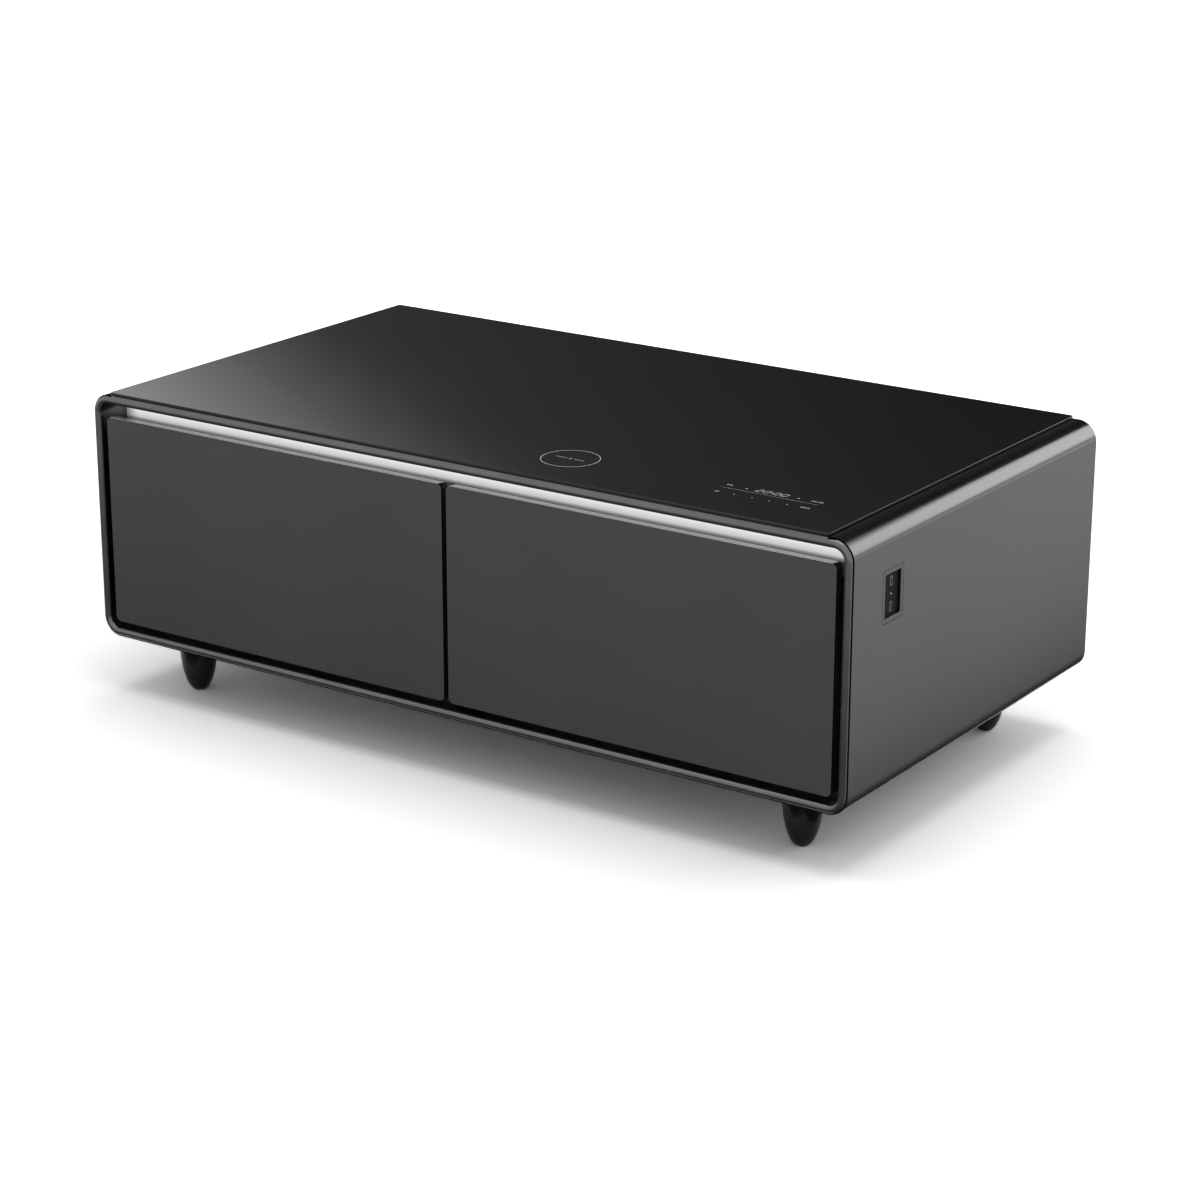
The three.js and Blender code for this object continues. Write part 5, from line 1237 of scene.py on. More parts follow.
coldPlate = {
    "x": (0.089, 0.54), "z": (0.17, 0.353), "y": (0.1382, 0.1397), "corner": 0.012, "edge": 0.0004,
    "runX": (0.117, 0.512), "runZ": (0.198, 0.2615, 0.325), "tubeY": 0.13545, "tube": 0.0035,
    "screwInset": 0.011,
}


def serpentine(x, y, heights, steps=10):
    # to and fro at each height, with half-round turns
    route = []
    for row, height in enumerate(heights):
        start, end = x if row % 2 == 0 else x[::-1]
        route += [(start + (end - start) * share, y, height)
                  for share in ((0, 0.5, 1) if row == 0 else (0.5, 1))]
        if row < len(heights) - 1:
            reach = (heights[row + 1] - height) / 2
            for i in range(1, steps + 1):
                turn = pi * i / steps
                out = copysign(reach * sin(turn), end - start)
                route.append((end + out, y, height + reach * (1 - cos(turn))))
    return route


def buildColdPlate(name, side):
    x, z, y = span(side, *coldPlate["x"]), coldPlate["z"], coldPlate["y"]
    plate = platePiece("plate", x, z, coldPlate["corner"], y, "y", coldPlate["edge"], 6)
    route = serpentine(span(side, *coldPlate["runX"]), coldPlate["tubeY"], coldPlate["runZ"])
    parts = [plate, pipePiece("tube", route, coldPlate["tube"])]
    fitPiece(joinPieces(name + "ColdPlate", parts), name + "_cold_plate")
    inX, inZ = shrunk(x, coldPlate["screwInset"]), shrunk(z, coldPlate["screwInset"])
    addScrews(name + "ColdPlateScrews", name + "_cold_plate", [(a, y[0], b) for a in inX for b in inZ],
              "front")


seal = {
    "x": (0.01, 0.619), "z": (0.1208, 0.402), "corner": 0.008, "y": (-0.2979, -0.2903), "wide": 0.014,
    "head": ((0.0009, 0), (0.0003, -0.0003), (0, -0.0009), (0, -0.0022), (0.0006, -0.0028)),
    "foot": (0.002, 0.0016), "waist": 0.0034, "fold": 0.0011, "folds": 1.5, "foldSteps": 12,
}


def buildSeal(name, side):
    near, far = seal["y"]
    footIn, footDeep = seal["foot"]
    start, end = far + seal["head"][-1][1], near + footDeep
    edge = [(inset, far + y) for inset, y in seal["head"]]
    for i in range(seal["foldSteps"] + 1):
        share = i / seal["foldSteps"]
        inset = seal["waist"] + seal["fold"] * sin(2 * pi * seal["folds"] * share)
        edge.append((inset, start + share * (end - start)))
    edge += [(footIn, end), (footIn, near)]
    section = edge[::-1] + [(seal["wide"] - inset, y) for inset, y in edge]
    piece = carriedRound(name + "Gasket", span(side, *seal["x"]), seal["z"], seal["corner"], section, 8)
    fitPiece(piece, name + "_gasket")


# drawer tub
tub = {
    "topX": (0.0473, 0.5817), "topY": (-0.2929, 0.11695),
    "floorX": (0.0563, 0.5727), "floorY": (-0.2839, 0.10795),
    "z": (0.148, 0.362), "wall": 0.003, "corner": 0.022, "rim": 0.005, "rimLow": 0.357, "floorRound": 0.012,
    "underRound": 0.007, "rimRound": 0.0012, "steps": 9, "roundSteps": 5,
    "railX": (0.0423, 0.5867), "railDeep": 0.0092, "railY": (-0.286, 0.09495), "railZ": (0.277, 0.322),
    "railCorner": 0.002, "railEdge": 0.0006,
    "ribs": 5, "ribWide": 0.006, "ribTall": 0.0025, "ribIn": 0.022, "ribCorner": 0.0028, "ribEdge": 0.001,
}


def buildTub(name, side):
    low, high = tub["z"]
    topX, floorX, floorY = span(side, *tub["topX"]), span(side, *tub["floorX"]), tub["floorY"]
    wall, inner, under = tub["wall"], tub["floorRound"], tub["underRound"]
    rim, lip = tub["rim"], tub["rimRound"]
    corner, rimLow, bends = tub["corner"], tub["rimLow"], quarter(tub["roundSteps"])

    def level(inset, z, radius):
        share = (z - low) / (high - low)
        x, y = (tuple(f + (t - f) * share for f, t in zip(*ends))
                for ends in ((floorX, topX), (floorY, tub["topY"])))
        radius = max(radius, 0.003)
        return [(a, b, z) for a, b in outline(shrunk(x, inset), shrunk(y, inset), radius, tub["steps"])]

    def bend(wide, wallIn, sine, cosine):
        inset = wide * (1 - sine)
        return level(wallIn + inset, low + wallIn + wide * (1 - cosine), corner - wallIn - inset * 0.6)

    soft = lip * 0.3
    rings = [bend(inner, wall, s, c) for s, c in bends]
    rings += [level(inset, z, radius) for inset, z, radius in (
        (wall, high - lip, corner - wall), (wall - soft, high - soft, corner - wall),
        (wall - lip, high, corner - wall + lip), (lip - rim, high, corner + rim),
        (soft - rim, high - soft, corner + rim), (-rim, high - lip, corner + rim),
        (-rim, rimLow, corner + rim), (0, rimLow, corner))]
    rings += [bend(under, 0, s, c) for s, c in reversed(bends)]
    parts = [skinPiece("shell", rings)]
    near, far = tub["railX"]
    for x in ((near, near + tub["railDeep"]), (far - tub["railDeep"], far)):
        parts.append(platePiece("rail", tub["railY"], tub["railZ"], tub["railCorner"], span(side, *x), "x",
                                tub["railEdge"], 3, 2))
    start, end = shrunk(floorY, tub["ribIn"])
    rib = platePiece("rib", shrunk(floorX, tub["ribIn"]), around(start, tub["ribWide"]), tub["ribCorner"],
                     (low + wall / 2, low + wall + tub["ribTall"]), "z", tub["ribEdge"], 4)
    parts.append(inRow(rib, tub["ribs"], (0, (end - start) / (tub["ribs"] - 1), 0)))
    fitPiece(joinPieces(name + "Tub", parts), name + "_tub")


# telescopic runners
runner = {
    "sheet": 0.0012, "bend": 0.0016, "bow": 0.0005, "mitre": 0.5, "middle": 0.2995, "y": (-0.286, 0.114),
    "bendSteps": 5, "raceSteps": 8,
    "members": {  # web, open edge, half height, end of the lip, and how the races bow
        "cabinet": (0.0003, 0.0127, 0.0225, 0.019, 1), "middle": (0.0018, 0.0115, 0.0187, 0.0152, 0),
        "drawer": (0.013, 0.0033, 0.0149, 0.0099, -1)},
    "holes": {"cabinet": (0.0021, 7, 0.06), "middle": (0.0035, 5, 0.085), "drawer": (0.0024, 4, 0.11)},
    "holeReach": (-0.003, 0.018), "ball": 0.0013, "ballPitch": 0.0062, "balls": 7, "races": (0.0197, 0.0165),
    "across": 0.0065, "groups": (-0.236, 0.064), "cageWide": 0.0036, "cageThick": 0.0005, "cageEnd": 0.004,
}


def stripOutline(line, thickness):
    # outline of a bent strip, from its middle line
    edges = []
    for sign in (1, -1):
        edge = []
        for i, (u, v) in enumerate(line):
            before, after = line[max(i - 1, 0)], line[min(i + 1, len(line) - 1)]
            into = Vector((u - before[0], v - before[1]))
            out = Vector((after[0] - u, after[1] - v))
            bent = 1.0
            along = (into.normalized() + out.normalized()).normalized()
            if into.length and out.length:
                bent = max(along.dot(out.normalized()), runner["mitre"])
            offset = sign * thickness / 2 / bent
            edge.append((u - along.y * offset, v + along.x * offset))
        edges.append(edge)
    return edges[0] + edges[1][::-1]


def channelOutline(wall, direction, web, edge, half, lipEnd, bow):
    # rolled channel, open away from its web: its races bow out (1), in (-1) or lie flat (0)
    sheet, bend, depth = runner["sheet"], runner["bend"], runner["bow"]
    turn = 1 if edge > web else -1
    level = half - sheet / 2 - (depth if bow > 0 else 0)
    edgeLine = edge - turn * sheet / 2
    start, end = web + turn * (sheet / 2 + bend), edgeLine - turn * bend
    bends = quarter(runner["bendSteps"])
    line = [(start - turn * bend * c, level - bend * (1 - s)) for s, c in bends]
    for i in range(1, runner["raceSteps"]):
        share = i / runner["raceSteps"]
        line.append((start + (end - start) * share, level + bow * depth * sin(pi * share)))
    line += [(end + turn * bend * s, level - bend * (1 - c)) for s, c in bends] + [(edgeLine, lipEnd)]
    whole = [(u, -v) for u, v in reversed(line)] + line
    return [(wall + direction * u, runner["middle"] + v) for u, v in stripOutline(whole, sheet)]


def ballRows(name, node, x):
    # balls of the middle member, and the cages that hold them
    first = (runner["balls"] - 1) * runner["ballPitch"] / 2
    places = [(x, y, runner["middle"] + side * race)
              for y in runner["groups"] for race in runner["races"] for side in (-1, 1)]
    reach = 2 * (first + runner["cageEnd"])
    cages = [boxPiece("cage", around(x, runner["cageWide"]), around(y, reach), around(z, runner["cageThick"]),
                      edge=toolEdge) for x, y, z in places]
    addPart(joinPieces(name + "Cages", cages), node, slot="black_plastic")
    return grow(pointsPiece("balls", [(x, y - first, z) for x, y, z in places]), "balls", **{
        "Ball Radius": runner["ball"], "Count": runner["balls"], "Pitch": runner["ballPitch"]})


def buildRunner(name, wall, direction):
    for member, shape in runner["members"].items():
        piece = pushedPiece(name + member.capitalize(), channelOutline(wall, direction, *shape), runner["y"],
                            "y")
        radius, count, pitch = runner["holes"][member]
        start = middle(runner["y"]) - (count - 1) * pitch / 2
        ends = sorted(wall + direction * reach for reach in runner["holeReach"])
        hole = rodPiece("punch", radius, (start, runner["middle"]), ends, "x", 18)
        parts = [cutAway(piece, [inRow(hole, count, (0, pitch, 0))])]
        if member == "middle":
            parts.append(ballRows(name, name + "_middle", wall + direction * runner["across"]))
        fitPiece(joinPieces(name + member.capitalize(), parts), name + "_" + member, angle=32)


for name, side in (("left", -1), ("right", 1)):
    buildLiner(name, side)
    buildColdPlate(name, side)
    buildSeal(name, side)
    buildTub(name, side)
    buildRunner(name + "_outer_runner", side * cavity["x"][1], -side)
    buildRunner(name + "_inner_runner", side * cavity["x"][0], side)
print("cavities, drawers and runners built")

# machine compartment
base = {
    "x": (-0.232, 0.232), "y": (0.2005, 0.3285), "z": (0.0918, 0.0933), "corner": 0.015, "edge": 0.0003,
    "slots": 12, "slotPitch": 0.035, "slot": 0.007, "slotY": (0.2295, 0.2995),
    "bead": 0.0012, "beadX": (-0.03, 0.07), "beadY": (0.2165, 0.3125), "beadSunk": 0.0002, "beadSteps": 8,
    "screws": ((-0.01, 0.2055), (-0.01, 0.3235), (0.045, 0.2055), (0.045, 0.3235), (0.224, 0.2115),
               (0.224, 0.3175)),
}


def buildBase():
    low, high = base["z"]
    plate = platePiece("machineBase", base["x"], base["y"], base["corner"], base["z"], "z", edge=base["edge"])
    start = -(base["slots"] - 1) * base["slotPitch"] / 2
    slot = platePunch(around(start, base["slot"]), base["slotY"], base["slot"] * 0.48,
                      (low - past / 2, high + past / 2), "z", 6)
    cutAway(plate, [inRow(slot, base["slots"], (base["slotPitch"], 0, 0))])
    # a pressed bead along each long side, above the case floor
    steps, tall, level = base["beadSteps"], base["bead"], high - base["beadSunk"]
    section = [(tall * 1.6 * cos(pi * i / steps), tall * sin(pi * i / steps)) for i in range(steps + 1)]
    beads = [pushedPiece("bead", [(y + a, level + b) for a, b in section], base["beadX"], "x")
             for y in base["beadY"]]
    fitPiece(joinPieces("machineBase", [plate, *beads]), "machine_base", angle=40)
    addScrews("baseScrews", "machine_base", [(x, y, high) for x, y in base["screws"]], "up", 0.8)


pump = {
    "centre": (-0.205, 0.2645), "radius": 0.062, "stretch": 1.2274, "neck": 0.031,
    "low": 0.1159, "high": 0.2739, "seam": 0.1949, "dome": 0.031, "fullness": 2.75, "domeSteps": 12,
    "sides": 72,
    "flange": 0.004, "flangeEdge": 0.0006, "fillet": (0.0008, 0.0012), "upperIn": 0.0012,
    "plate": ((-0.3, -0.11), (0.1985, 0.3305), (0.1059, 0.1089)), "plateCorner": 0.014, "plateEdge": 0.0008,
    "ears": (0.081, 0.052), "earHole": 0.004,
    "cover": ((-0.2951, -0.243), (0.2315, 0.2975), (0.1259, 0.1869)), "coverCorner": 0.008,
    "coverEdge": 0.003,
    "lidIn": 0.008, "lidCorner": 0.004, "lidOut": 0.0006,
    "stubX": (-0.1575, -0.11), "stubs": (0.1548, 0.1943),
    # collar of a stub, as (radius, distance from its end)
    "collar": ((0.0048, 0.026), (0.0044, 0.0255), (0.0035, 0.0235), (0.0032, 0.022)),
}


def buildCompressor():
    radius, power, seam = pump["radius"], 2 / pump["fullness"], pump["seam"]
    lip, edge, (filletOut, filletUp) = pump["flange"], pump["flangeEdge"], pump["fillet"]
    (x, y, z), centre, low, high = pump["plate"], pump["centre"], pump["low"], pump["high"]

    def dome(full, start, direction):
        return [(full * s ** power, start + direction * pump["dome"] * (1 - c ** power))
                for s, c in quarter(pump["domeSteps"])[1:]]

    upper, wide, top = radius - pump["upperIn"], radius + lip, seam + lip / 2
    profile = [(0, z[0]), (pump["neck"], z[0]), (pump["neck"], low), *dome(radius, low, 1)]
    profile += [
        (radius, seam - lip), (wide - edge, seam - lip), (wide, seam - lip + edge), (wide, top - edge),
        (wide - edge, top), (upper + filletOut, top), (upper, top + filletUp),
        *dome(upper, high, -1)[::-1], (0, high)]
    shell = turnedPiece("shell", profile, centre, "z", pump["sides"], pump["stretch"])
    ears = fourRound(centre, pump["ears"])
    plate = platePiece("plate", x, y, pump["plateCorner"], z, "z", pump["plateEdge"])
    cutAway(plate, [rodPiece("punch", pump["earHole"], ear, (z[0] - past, z[1] + past), "z", 24)
                    for ear in ears])
    (outside, inside), coverY, coverZ = pump["cover"]
    cover = platePiece("cover", coverY, coverZ, pump["coverCorner"], (outside, inside), "x",
                       pump["coverEdge"], 6, 4)
    face, inset = outside - pump["lidOut"], pump["lidIn"]
    lid = platePiece("lid", shrunk(coverY, inset), shrunk(coverZ, inset), pump["lidCorner"],
                     (face, outside + past), "x", steps=5)
    fitPiece(joinPieces("compressor", [shell, plate, cover, lid]), "compressor", angle=40)
    # copper stubs, each with a collar that narrows to the pipe
    (start, end), collar = pump["stubX"], pump["collar"]
    profile = [(0, start), (collar[0][0], start), *((r, end - back) for r, back in collar),
               (collar[-1][0], end), (0, end)]
    collars = [turnedPiece("stub", profile, (centre[1], height), "x", 24) for height in pump["stubs"]]
    addPart(joinPieces("compressorStubs", collars), "compressor", slot="copper")
    addScrews("compressorCoverScrew", "compressor", [(face, middle(coverY), middle(coverZ))], "left")
    addScrews("compressorBolts", "compressor", [(*ear, z[1]) for ear in ears], "up", 1.7)


grommet = {
    "radius": 0.011, "z": (0.0936, 0.1056), "plug": 0.0037, "plugTop": 0.1089, "round": 0.0014,
    "flange": 0.003, "slope": (0.0006, 0.0008), "waist": 0.0085, "waistEnd": 0.0046, "waistDip": 0.0003,
}


def buildGrommets():
    low, high = grommet["z"]
    radius, edge, waist, thick = grommet["radius"], grommet["round"], grommet["waist"], grommet["flange"]
    plug, top, tall, end = grommet["plug"], grommet["plugTop"], high - low, grommet["waistEnd"]
    slopeIn, slopeUp = grommet["slope"]
    lower = [(radius - edge, 0), (radius - edge * 0.3, edge * 0.3), (radius, edge), (radius, thick),
             (radius - slopeIn, thick + slopeUp)]
    profile = [(0, low), *((r, low + h) for r, h in lower), (waist, low + end),
               (waist - grommet["waistDip"], low + tall / 2), (waist, high - end),
               *((r, high - h) for r, h in reversed(lower)), (plug, high), (plug, top), (0, top)]
    (cx, cy), (ex, ey) = pump["centre"], pump["ears"]
    for label, sx, sy in quarters:
        piece = turnedPiece("grommet." + label, profile, (cx + sx * ex, cy + sy * ey), "z", 36)
        fitPiece(piece, "grommet_" + label)


coil = {
    "x": (0.075, 0.305), "y": (0.1873, 0.2313), "z": (0.0936, 0.2836), "fins": 65, "finThick": 0.00025,
    "finIn": (0.0014, 0.0006), "finLast": 0.0016, "wave": 0.0006, "waves": 330.0,
    "plate": 0.0012, "plateCorner": 0.0012, "ledge": 0.0009, "ledgeCorner": 0.001, "edge": 0.0003,
    "tube": 0.004, "tubeX": (0.071, 0.309), "tubeY": 0.2093, "rows": (0.11735, 0.16485, 0.21235, 0.25985),
}


def buildCondenser():
    x, y, z, plate, edge, ledge = (coil[key] for key in ("x", "y", "z", "plate", "edge", "ledge"))
    gap, inset = coil["finIn"]
    pitch = (x[1] - x[0] - 2 * plate - gap - coil["finLast"]) / (coil["fins"] - 1)
    size = (coil["finThick"], y[1] - y[0] - 2 * inset, z[1] - z[0] - 2 * inset)
    fins = grow(pointsPiece("fins", [(0, 0, 0)]), "fins", **{
        "Start": (x[0] + plate + gap, y[0] + inset, z[0] + inset), "Count": coil["fins"], "Pitch": pitch,
        "Fin Size": size, "Wave": coil["wave"], "Waves": coil["waves"]})
    ends = [platePiece("end", y, z, coil["plateCorner"], (start, start + plate), "x", edge, 3)
            for start in (x[0], x[1] - plate)]
    ledges = [platePiece("ledge", x, y, coil["ledgeCorner"], (start, start + ledge), "z", edge, 3)
              for start in (z[0], z[1] - ledge)]
    fitPiece(joinPieces("condenser", [fins, *ends, *ledges]), "condenser", angle=40)
    tube = pipePiece("condenserTube", serpentine(coil["tubeX"], coil["tubeY"], coil["rows"]), coil["tube"])
    addPart(tube, "condenser", slot="copper")


fan = {
    "centre": (0.19, 0.1886), "middleY": 0.24545,
    "plateX": (0.075, 0.305), "plateZ": (0.0936, 0.2836), "plateY": (0.2316, 0.2341), "corner": 0.004,
    "plateEdge": 0.0006, "duct": (0.075, 0.0775), "ductY": (0.2316, 0.2616), "ductFoot": (0.004, 0.0024),
    "flare": 0.003, "edge": 0.0004, "ring": (0.0243, 0.0265), "screwIn": 0.009,
    "struts": 3, "strutY": (0.2566, 0.2616), "strutWide": 0.007, "strutCorner": 0.0012,
    "strutSunk": 0.001,
    "hub": 0.021, "hubY": (0.2346, 0.2563), "hubRound": 0.003, "hubWall": 0.002, "hubFloor": 0.006,
    "hubEdge": 0.0005,
    "boss": 0.006, "bossLow": 0.003, "bore": 0.0028, "boreDeep": 0.0026,
    "blades": 5, "tip": 0.072, "root": 0.019, "chord": 0.0338, "taper": 0.15, "twist": 0.6, "flatten": 0.35,
    "camber": 0.0016, "thick": 0.002, "sections": 12, "chordSteps": 8,
    "motor": 0.024, "motorY": (0.2566, 0.2836), "shaft": 0.0025, "shaftY": 0.2374, "shaftEdge": 0.0003,
    "motorEdge": 0.001, "groove": ((0, 0.006), (-0.0005, 0.0064), (-0.0005, 0.0072), (0, 0.0076)),
    "motorRound": 0.004, "capTall": 0.0015, "cap": 0.009, "capEdge": 0.0004, "motorScrews": 0.0115,
}


def buildShroud():
    (cx, cz), (inside, outside), flare, edge = fan["centre"], fan["duct"], fan["flare"], fan["edge"]
    near, far = fan["plateY"]
    plate = platePiece("plate", fan["plateX"], fan["plateZ"], fan["corner"], fan["plateY"], "y",
                       fan["plateEdge"], 5)
    cutAway(plate, [rodPiece("punch", inside + flare, fan["centre"], (near - past, far + past), "y", 96)])
    (low, high), (footOut, footIn), sunk = fan["ductY"], fan["ductFoot"], fan["strutSunk"]
    section = [(inside + flare * (1 - s), low + flare * 2 * (1 - c)) for s, c in quarter(6)]
    section += [(inside, high - edge), (inside + edge, high), (outside - edge, high), (outside, high - edge),
                (outside, low + footOut), (inside + flare, low + footIn)]
    duct = turnedRing("duct", section, fan["centre"], "y", 96)
    (thin, wide), (low, high) = fan["ring"], fan["strutY"]
    section = [(thin, low), (wide - edge, low), (wide, low + edge), (wide, high - edge), (wide - edge, high),
               (thin, high)]
    hoop = turnedRing("hoop", section, fan["centre"], "y")
    strut = platePiece("strut", around(0, fan["strutWide"]), (low - fan["middleY"], high - fan["middleY"]),
                       fan["strutCorner"], (wide - sunk, inside + sunk), "z", toolEdge, 3)
    struts = grow(strut, "round", **{"Count": fan["struts"], "Centre": (cx, fan["middleY"], cz)})
    fitPiece(joinPieces("fanShroud", [plate, duct, hoop, struts]), "fan_shroud", angle=40)
    inX, inZ = shrunk(fan["plateX"], fan["screwIn"]), shrunk(fan["plateZ"], fan["screwIn"])
    addScrews("shroudScrews", "fan_shroud", [(x, far, z) for x in inX for z in inZ], "back")


def bladeRing(share):
    # section of one blade at a share of its reach
    reach = fan["root"] + (fan["tip"] - fan["root"]) * share
    half = fan["chord"] / 2 * (1 - fan["taper"] * share) * (1 - 0.6 * max(share - 0.8, 0))
    pitch = fan["twist"] * (1 - fan["flatten"] * share)
    points = []
    for sign in (1, -1):
        for k in range(fan["chordSteps"] + 1):
            along = (2 * k / fan["chordSteps"] - 1) * sign
            thick = fan["thick"] / 2 * (0.25 + 0.75 * (1 - along ** 2) ** 0.5)
            u, v = half * along, fan["camber"] * (0.4 - along ** 2) - sign * thick
            z = u * cos(pitch) - v * sin(pitch)
            points.append((sqrt(max(reach ** 2 - z ** 2, 1e-8)), u * sin(pitch) + v * cos(pitch), z))
    return points


def buildFan():
    (low, high), (cx, cz) = fan["hubY"], fan["centre"]
    radius, soft, edge, inner = fan["hub"], fan["hubRound"], fan["hubEdge"], fan["hub"] - fan["hubWall"]
    floor, boss, end, bore = low + fan["hubFloor"], fan["boss"], high - fan["bossLow"], fan["bore"]
    profile = [(0, low)] + [(radius - soft * (1 - s), low + soft * (1 - c)) for s, c in quarter(5)]
    profile += [(radius, high - edge), (radius - edge, high), (inner, high), (inner, floor), (boss, floor),
                (boss, end), (bore, end), (bore, low + fan["boreDeep"]), (0, low + fan["boreDeep"])]
    hub = turnedPiece("hub", profile, fan["centre"], "y", 60)
    blade = skinPiece("blade", [bladeRing(i / fan["sections"]) for i in range(fan["sections"] + 1)])
    blades = grow(blade, "round", **{"Count": fan["blades"], "Centre": (cx, fan["middleY"], cz)})
    fitPiece(joinPieces("condenserFan", [hub, blades]), "condenser_fan", angle=40)


def buildMotor():
    (low, high), radius, shaft, edge = fan["motorY"], fan["motor"], fan["shaft"], fan["motorEdge"]
    end, soft, cap, soften = fan["shaftY"], fan["motorRound"], fan["cap"], fan["shaftEdge"]
    level = high - fan["capTall"]
    profile = [(0, end), (shaft - soften, end), (shaft, end + soften), (shaft, low), (radius - edge, low),
               (radius, low + edge), *((radius + out, low + up) for out, up in fan["groove"])]
    profile += [(radius - soft * (1 - c), level - soft * (1 - s)) for s, c in quarter(6)]
    profile += [(cap, level), (cap, high - fan["capEdge"]), (cap - fan["capEdge"], high), (0, high)]
    fitPiece(turnedPiece("fanMotor", profile, fan["centre"], "y", 60), "fan_motor", angle=40)
    places = [(x, level, z) for x, z in fourRound(fan["centre"], (fan["motorScrews"],) * 2)]
    addScrews("motorScrews", "fan_motor", places, "back", 0.6)


pipes = {
    "radius": 0.0032, "thin": 0.0016,
    "discharge": (
        (-0.1097, 0.2645, 0.1548), (-0.088052, 0.2645, 0.1548), (-0.050168, 0.2645, 0.136075),
        (0.011168, 0.2093, 0.11735), (0.049052, 0.2093, 0.11735), (0.0707, 0.2093, 0.11735)),
    "suction": (
        (-0.1097, 0.2645, 0.1943), (-0.0997, 0.2645, 0.1943), (-0.0897, 0.2259, 0.2043),
        (-0.0797, 0.1973, 0.2143), (-0.0797, 0.1873, 0.2143)),
    "upper": (
        (0.0707, 0.2093, 0.25985), (0.0607, 0.2093, 0.25985), (0.01, 0.2093, 0.25985), (0, 0.2093, 0.24985),
        (0, 0.2093, 0.23385)),
    "lower": ((0, 0.2093, 0.16385), (0, 0.2093, 0.15185), (0, 0.1973, 0.14185), (0, 0.1873, 0.14185)),
    "drier": (0.0, 0.2093), "drierZ": (0.16185, 0.23585), "drierRadius": 0.009, "drierNeck": 0.0038,
    "neckLong": 0.003, "shoulder": 0.007,
    "groove": ((0, 0.02), (-0.0006, 0.0206), (-0.0006, 0.0216), (0, 0.0222)),
}


def buildPipes():
    radius, neck, wide = pipes["radius"], pipes["drierNeck"], pipes["drierRadius"]
    low, high = pipes["drierZ"]
    for label in ("discharge", "suction"):
        pipe = pipePiece(label + "Pipe", smoothRoute(pipes[label], 10), radius)
        fitPiece(pipe, label + "_pipe")
    start = low + pipes["neckLong"]
    profile = [(0, low), (neck, low), (neck, start)]
    profile += [(neck + (wide - neck) * (1 - cos(pi * i / 8)) / 2, start + pipes["shoulder"] * i / 8)
                for i in range(1, 9)]
    profile += [(wide + out, low + up) for out, up in pipes["groove"]]
    profile += [(r, high + low - h) for r, h in reversed(profile)]
    parts = [turnedPiece("body", profile, pipes["drier"], "z", 36),
             pipePiece("upper", smoothRoute(pipes["upper"]), radius),
             pipePiece("lower", smoothRoute(pipes["lower"]), pipes["thin"], 16)]
    fitPiece(joinPieces("filterDrier", parts), "filter_drier")


tray = {
    "x": (-0.3, -0.11), "y": (0.1985, 0.3305), "z": (0.2742, 0.2982),
    "wall": 0.002, "taper": 0.004, "corner": 0.015,
    "round": 0.006, "steps": 8, "roundSteps": 5, "edge": 0.0005, "rim": 0.004, "rimOut": 0.0009,
}


def buildTray():
    (low, high), wall, soft, corner = tray["z"], tray["wall"], tray["round"], tray["corner"]
    edge, under, rim, bends = tray["edge"], tray["rimOut"], high - tray["rim"], quarter(tray["roundSteps"])

    def level(inset, z, radius=corner):
        inset += tray["taper"] * (high - z) / (high - low)
        return [(a, b, z) for a, b in outline(
            shrunk(tray["x"], inset), shrunk(tray["y"], inset), max(radius, 0.004), tray["steps"])]

    def bend(inset, floor, sine, cosine):
        return level(inset + soft * (1 - sine), floor + soft * (1 - cosine), corner - soft * (1 - sine) * 0.6)

    rings = [bend(wall, low + wall, s, c) for s, c in bends]
    rings += [level(inset, z) for inset, z in (
        (wall, high - edge), (wall - edge, high), (edge, high), (0, high - edge), (0, rim),
        (under, rim - edge))]
    rings += [bend(under, low, s, c) for s, c in reversed(bends)]
    fitPiece(skinPiece("dripTray", rings), "drip_tray")


control = {
    "x": (-0.48, -0.33), "y": (0.1873, 0.2833), "z": (0.0918, 0.1538), "corner": 0.006, "edge": 0.0008,
    "split": 0.139, "groove": 0.0008, "neckIn": 0.0012, "neckCorner": 0.005, "lidEdge": 0.0015,
    "ribs": 7, "ribPitch": 0.01875, "rib": (0.002, 0.004), "ribCorner": 0.0009, "ribEdge": 0.0006,
    "sunk": 0.001, "screwInset": 0.007,
}


def buildControlBox():
    x, y, (low, high), corner, sunk = (control[key] for key in ("x", "y", "z", "corner", "sunk"))
    split, inset = control["split"], control["neckIn"]
    top = split + control["groove"]
    parts = [
        platePiece("box", x, y, corner, (low, split), "z", control["edge"], 6),
        platePiece("neck", shrunk(x, inset), shrunk(y, inset), control["neckCorner"],
                   (split - sunk, top + sunk), "z", toolEdge, 6),
        platePiece("lid", x, y, corner, (top, high), "z", control["lidEdge"], 6)]
    (wide, tall), start = control["rib"], x[0] + control["ribPitch"]
    rib = platePiece("rib", (start, start + wide), shrunk(y, corner * 1.6), control["ribCorner"],
                     (high - sunk, high + tall), "z", control["ribEdge"], 3)
    parts.append(inRow(rib, control["ribs"], (control["ribPitch"], 0, 0)))
    fitPiece(joinPieces("controlBox", parts), "control_box", angle=40)
    inX, inY = shrunk(x, control["screwInset"]), shrunk(y, control["screwInset"])
    addScrews("controlBoxScrews", "control_box", [(a, b, high) for a in inX for b in inY], "up", 0.8)


buildBase()
buildCompressor()
buildGrommets()
buildCondenser()
buildShroud()
buildFan()
buildMotor()
buildPipes()
buildTray()
buildControlBox()
print("machine compartment built")

